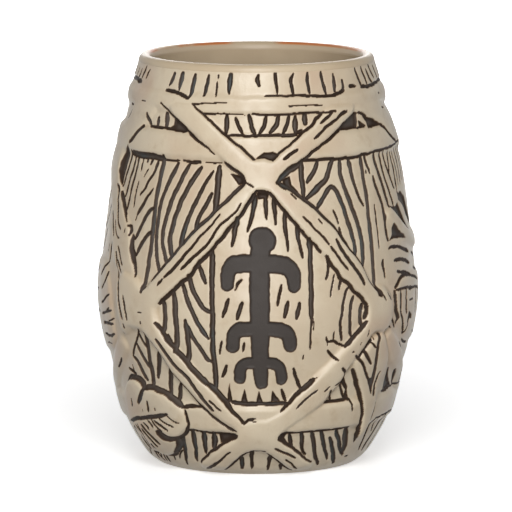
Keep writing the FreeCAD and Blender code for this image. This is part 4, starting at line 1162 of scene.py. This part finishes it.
def glaze(name):
    """Satin cream glaze: paler on the crests, partly thinner glaze and partly a painted highlight, sandier in
    the dips, brown to black stain in the cuts, slate grey in wide cuts.
    """
    n = Nodes(name)
    cloud = n.noise(0.022, 3.0, 0.55, 0.3)
    speck = n.noise(0.0042, 3.0, 0.6, 0.9)
    colour = n.mix(n.steps(cloud, 0.38, 0.66), CREAM, PALE)
    colour = n.mix(n.steps(speck, 0.5, 0.78, 0.0, 0.45), colour, SAND)
    colour = n.mix(n.steps(n.noise(0.03, 2.0, 0.5, 2.1), 0.56, 0.74, 0.0, 0.5), colour, PINK)
    crest = n.value("crest")
    # Crests of the relief painted paler: partly glaze thinning over the edges, partly a painted highlight.
    colour = n.mix(n.steps(crest, 0.05, 0.8, 0.0, 0.7), colour, PALE)
    colour = n.mix(n.steps(crest, -0.05, -0.8, 0.0, 0.75), colour, SAND)
    grain = n.math("MULTIPLY", n.math("SUBTRACT", n.noise(0.0011, 2.0, 0.6), 0.5), 0.35)
    stain = n.math("ADD", n.value("stain"), n.math("MULTIPLY", grain, n.steps(n.value("stain"), 0.02, 0.4)))
    colour = n.mix(n.steps(stain, 0.05, 0.42), colour, BROWN)
    colour = n.mix(n.steps(stain, 0.4, 0.72), colour, BLACK)
    floor = n.mix(n.steps(n.noise(0.018, 2.0, 0.5, 5.0), 0.48, 0.64), GREY, SLATE)
    colour = n.mix(n.math("MULTIPLY", n.value("slate"), 0.85), colour, floor)
    colour = n.mix(n.value("ink"), colour, INK)
    dark = n.math("MAXIMUM", n.steps(n.value("stain"), 0.2, 0.6), n.value("ink"))
    rough = n.math("ADD", n.steps(speck, 0.3, 0.75, 0.32, 0.42), n.math("MULTIPLY", dark, 0.22))
    n.bump(n.math("ADD", n.noise(0.0022, 3.0, 0.6), n.math("MULTIPLY", n.noise(0.0006, 2.0), 0.3)), 0.00012)
    return n.finish(colour, rough, n.steps(dark, 0.0, 1.0, 0.6, 0.22))


def lip_glaze():
    """The lip's glaze, thin on the edge, where the clay shows orange, with a painted brown shadow line along
    the far lip's outer top edge.
    """
    n = Nodes("lip_glaze")
    cloud = n.noise(0.02, 3.0, 0.6, 0.3)
    colour = n.mix(n.steps(cloud, 0.38, 0.66), CREAM, PALE)
    scratch = n.steps(n.noise(0.01, 4.0, 0.6, 4.2), 0.58, 0.72, 0.0, 0.3)
    colour = n.mix(scratch, n.mix(0.5, colour, SAND), PINK)
    colour = n.mix(n.value("shade"), colour, LINER_DARK)
    patchy = n.steps(n.noise(0.016, 3.0, 0.6, 4.2), 0.38, 0.58, 0.2, 1.0)
    colour = n.mix(n.math("MULTIPLY", n.value("rust"), patchy), colour, RUST)
    # Painted shadow line: thin brown along the outer top edge of the far lip.
    colour = n.mix(n.math("MULTIPLY", n.value("line"), 0.6), colour, BROWN)
    n.bump(n.noise(0.003, 3.0, 0.6), 0.0001)
    return n.finish(colour, 0.38, 0.45)


def liner_glaze():
    """Glossy grey-beige glaze inside."""
    n = Nodes("liner_glaze")
    cloud = n.noise(0.03, 3.0, 0.55, 1.3)
    colour = n.mix(n.steps(cloud, 0.35, 0.68), LINER_DARK, LINER_PALE)
    colour = n.mix(n.steps(n.noise(0.005, 3.0, 0.6), 0.6, 0.8, 0.0, 0.3), colour, srgb(140, 124, 98))
    n.bump(n.noise(0.004, 2.0, 0.5), 0.0001)
    return n.finish(colour, 0.18, 0.5)


def clay():
    """Bare buff clay on the foot."""
    n = Nodes("bare_clay")
    colour = n.mix(n.steps(n.noise(0.01, 4.0, 0.6), 0.4, 0.65), srgb(196, 168, 130), srgb(210, 186, 150))
    colour = n.mix(n.steps(n.noise(0.0012, 2.0, 0.5), 0.62, 0.75, 0.0, 0.6), colour, srgb(140, 108, 76))
    n.bump(n.noise(0.0012, 3.0, 0.6), 0.0002)
    return n.finish(colour, 0.8, 0.3)


def dress(piece, material, slot, *nodes):
    """Gives a piece its material and body, and hides the CAD nodes that it stands for; its slot is not used.
    """
    piece.data.materials.append(material)
    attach(piece, "root")
    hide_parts(*nodes)


SLOTS = {"hoop": "hoop_glaze", "lashing": "lashing_glaze", "knot": "motif_glaze", "leaf": "motif_glaze",
         "boss": "motif_glaze", "figure": "dark_slip_inlay", "turtle": "dark_slip_inlay",
         "wall": "stoneware_wall"}


def build_mug():
    """All the pieces of the mug."""
    chart = chart_grid()
    coats = {}
    for name, piece in chart_pieces(chart).items():
        slot = SLOTS[name.rsplit("_", 1)[1]]
        if slot not in coats:
            coats[slot] = glaze(slot)
        dress(piece, coats[slot], slot, "vessel_body" if name.endswith("wall") else name)
    dress(lip_piece(chart), lip_glaze(), "lip_glaze", "lip_glaze")
    dress(liner_piece(), liner_glaze(), "liner_glaze", "liner_glaze")
    dress(foot_piece(chart), clay(), "stoneware_wall", "vessel_body")


CAMERA_DISTANCE = 1.6
CAMERA_RISE = 8.3
CAMERA_TURN = -1.5
LENS = 366.2
SENSOR = 36
SHIFT = (-0.0012, -0.002)


def place_camera():
    """A long lens a little above, aimed at the middle of the mug."""
    aim = Vector((0, 0, (cad_box[0][2] + cad_box[1][2]) / 2))
    turn, rise = math.radians(CAMERA_TURN), math.radians(CAMERA_RISE)
    way = Vector((math.cos(rise) * math.sin(turn), -math.cos(rise) * math.cos(turn), math.sin(rise)))
    data = bpy.data.cameras.new("camera")
    data.lens = LENS
    data.sensor_width = SENSOR
    data.shift_x, data.shift_y = SHIFT
    camera = bpy.data.objects.new("camera", data)
    camera.location = aim + way * CAMERA_DISTANCE
    camera.rotation_euler = (-way).to_track_quat("-Z", "Y").to_euler()
    bpy.context.scene.collection.objects.link(camera)
    bpy.context.scene.camera = camera


def soft_light(name, place, size, power, aim=(0, 0, 0.06)):
    """A square area light at a place in metres, aimed at the mug or at another place."""
    data = bpy.data.lights.new(name, "AREA")
    data.size = size
    data.energy = power
    lamp = bpy.data.objects.new(name, data)
    lamp.location = place
    lamp.rotation_euler = (Vector(aim) - Vector(place)).to_track_quat("-Z", "Y").to_euler()
    bpy.context.scene.collection.objects.link(lamp)
    return lamp


# The floor's profile, as (radius, height) in mm from its raised edge to the middle, and its own glow
FLOOR = [(4600, 2600), (4550, 1200), (4300, 500), (3800, 100), (3200, -0.1), (600, -0.1), (0.01, -0.1)]
GLOW_NEAR = (0.5, 0.5, 0.5, 1)
GLOW_FAR = (0.7, 0.7, 0.7, 1)
PAPER_DARK = (0.92, 0.92, 0.92, 1)
PAPER_PALE = (0.96, 0.96, 0.96, 1)
WORLD_STRENGTH = 0.14
# Lamps that face the mug, as (place, size, power), and the one that lights the paper behind it
MUG_LAMPS = {
    "key_low": ((-0.04, -0.8, 0.1), 0.3, 2.55),
    "key_high": ((-0.02, -0.68, 0.58), 0.35, 4.05),
    "fill_back": ((0, 0.95, 0.45), 0.5, 2.4),
}
BACKDROP_LAMP = ((0, 0.95, 0.9), 0.6, 2.5, (0, 1.0, 0))
BACKDROP_SPREAD = 75


def build_stage():
    """A wide pale floor that curves up all round, and soft studio light."""
    floor = lathe("floor", FLOOR, 72)
    n = Nodes("floor_paper")
    colour = n.mix(n.noise(0.2, 2.0), PAPER_DARK, PAPER_PALE)
    away = n.add("VectorMath", operation="LENGTH")
    n.put(away.inputs[0], n.where())
    glow = n.ramp(n.steps(away.outputs["Value"], 0.05, 0.3), (0.0, GLOW_NEAR), (1.0, GLOW_FAR))
    n.put(n.shader.inputs["Emission Color"], glow)
    n.shader.inputs["Emission Strength"].default_value = 1.0
    floor.data.materials.append(n.finish(colour, 0.9, 0.1))
    floor.visible_diffuse = False
    floor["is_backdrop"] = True
    for name, lamp in MUG_LAMPS.items():
        soft_light(name, *lamp)
    soft_light("backdrop", *BACKDROP_LAMP).data.spread = math.radians(BACKDROP_SPREAD)
    world = bpy.data.worlds.new("studio")
    world.use_nodes = True
    background = world.node_tree.nodes["Background"]
    background.inputs["Color"].default_value = (1, 1, 1, 1)
    background.inputs["Strength"].default_value = WORLD_STRENGTH
    bpy.context.scene.world = world
    bpy.context.scene.view_settings.view_transform = "Standard"


build_mug()
place_camera()
build_stage()
boxes = {"cad": cad_box, "visual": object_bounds()}
{key: [list(map(float, corner)) for corner in box] for key, box in boxes.items()}
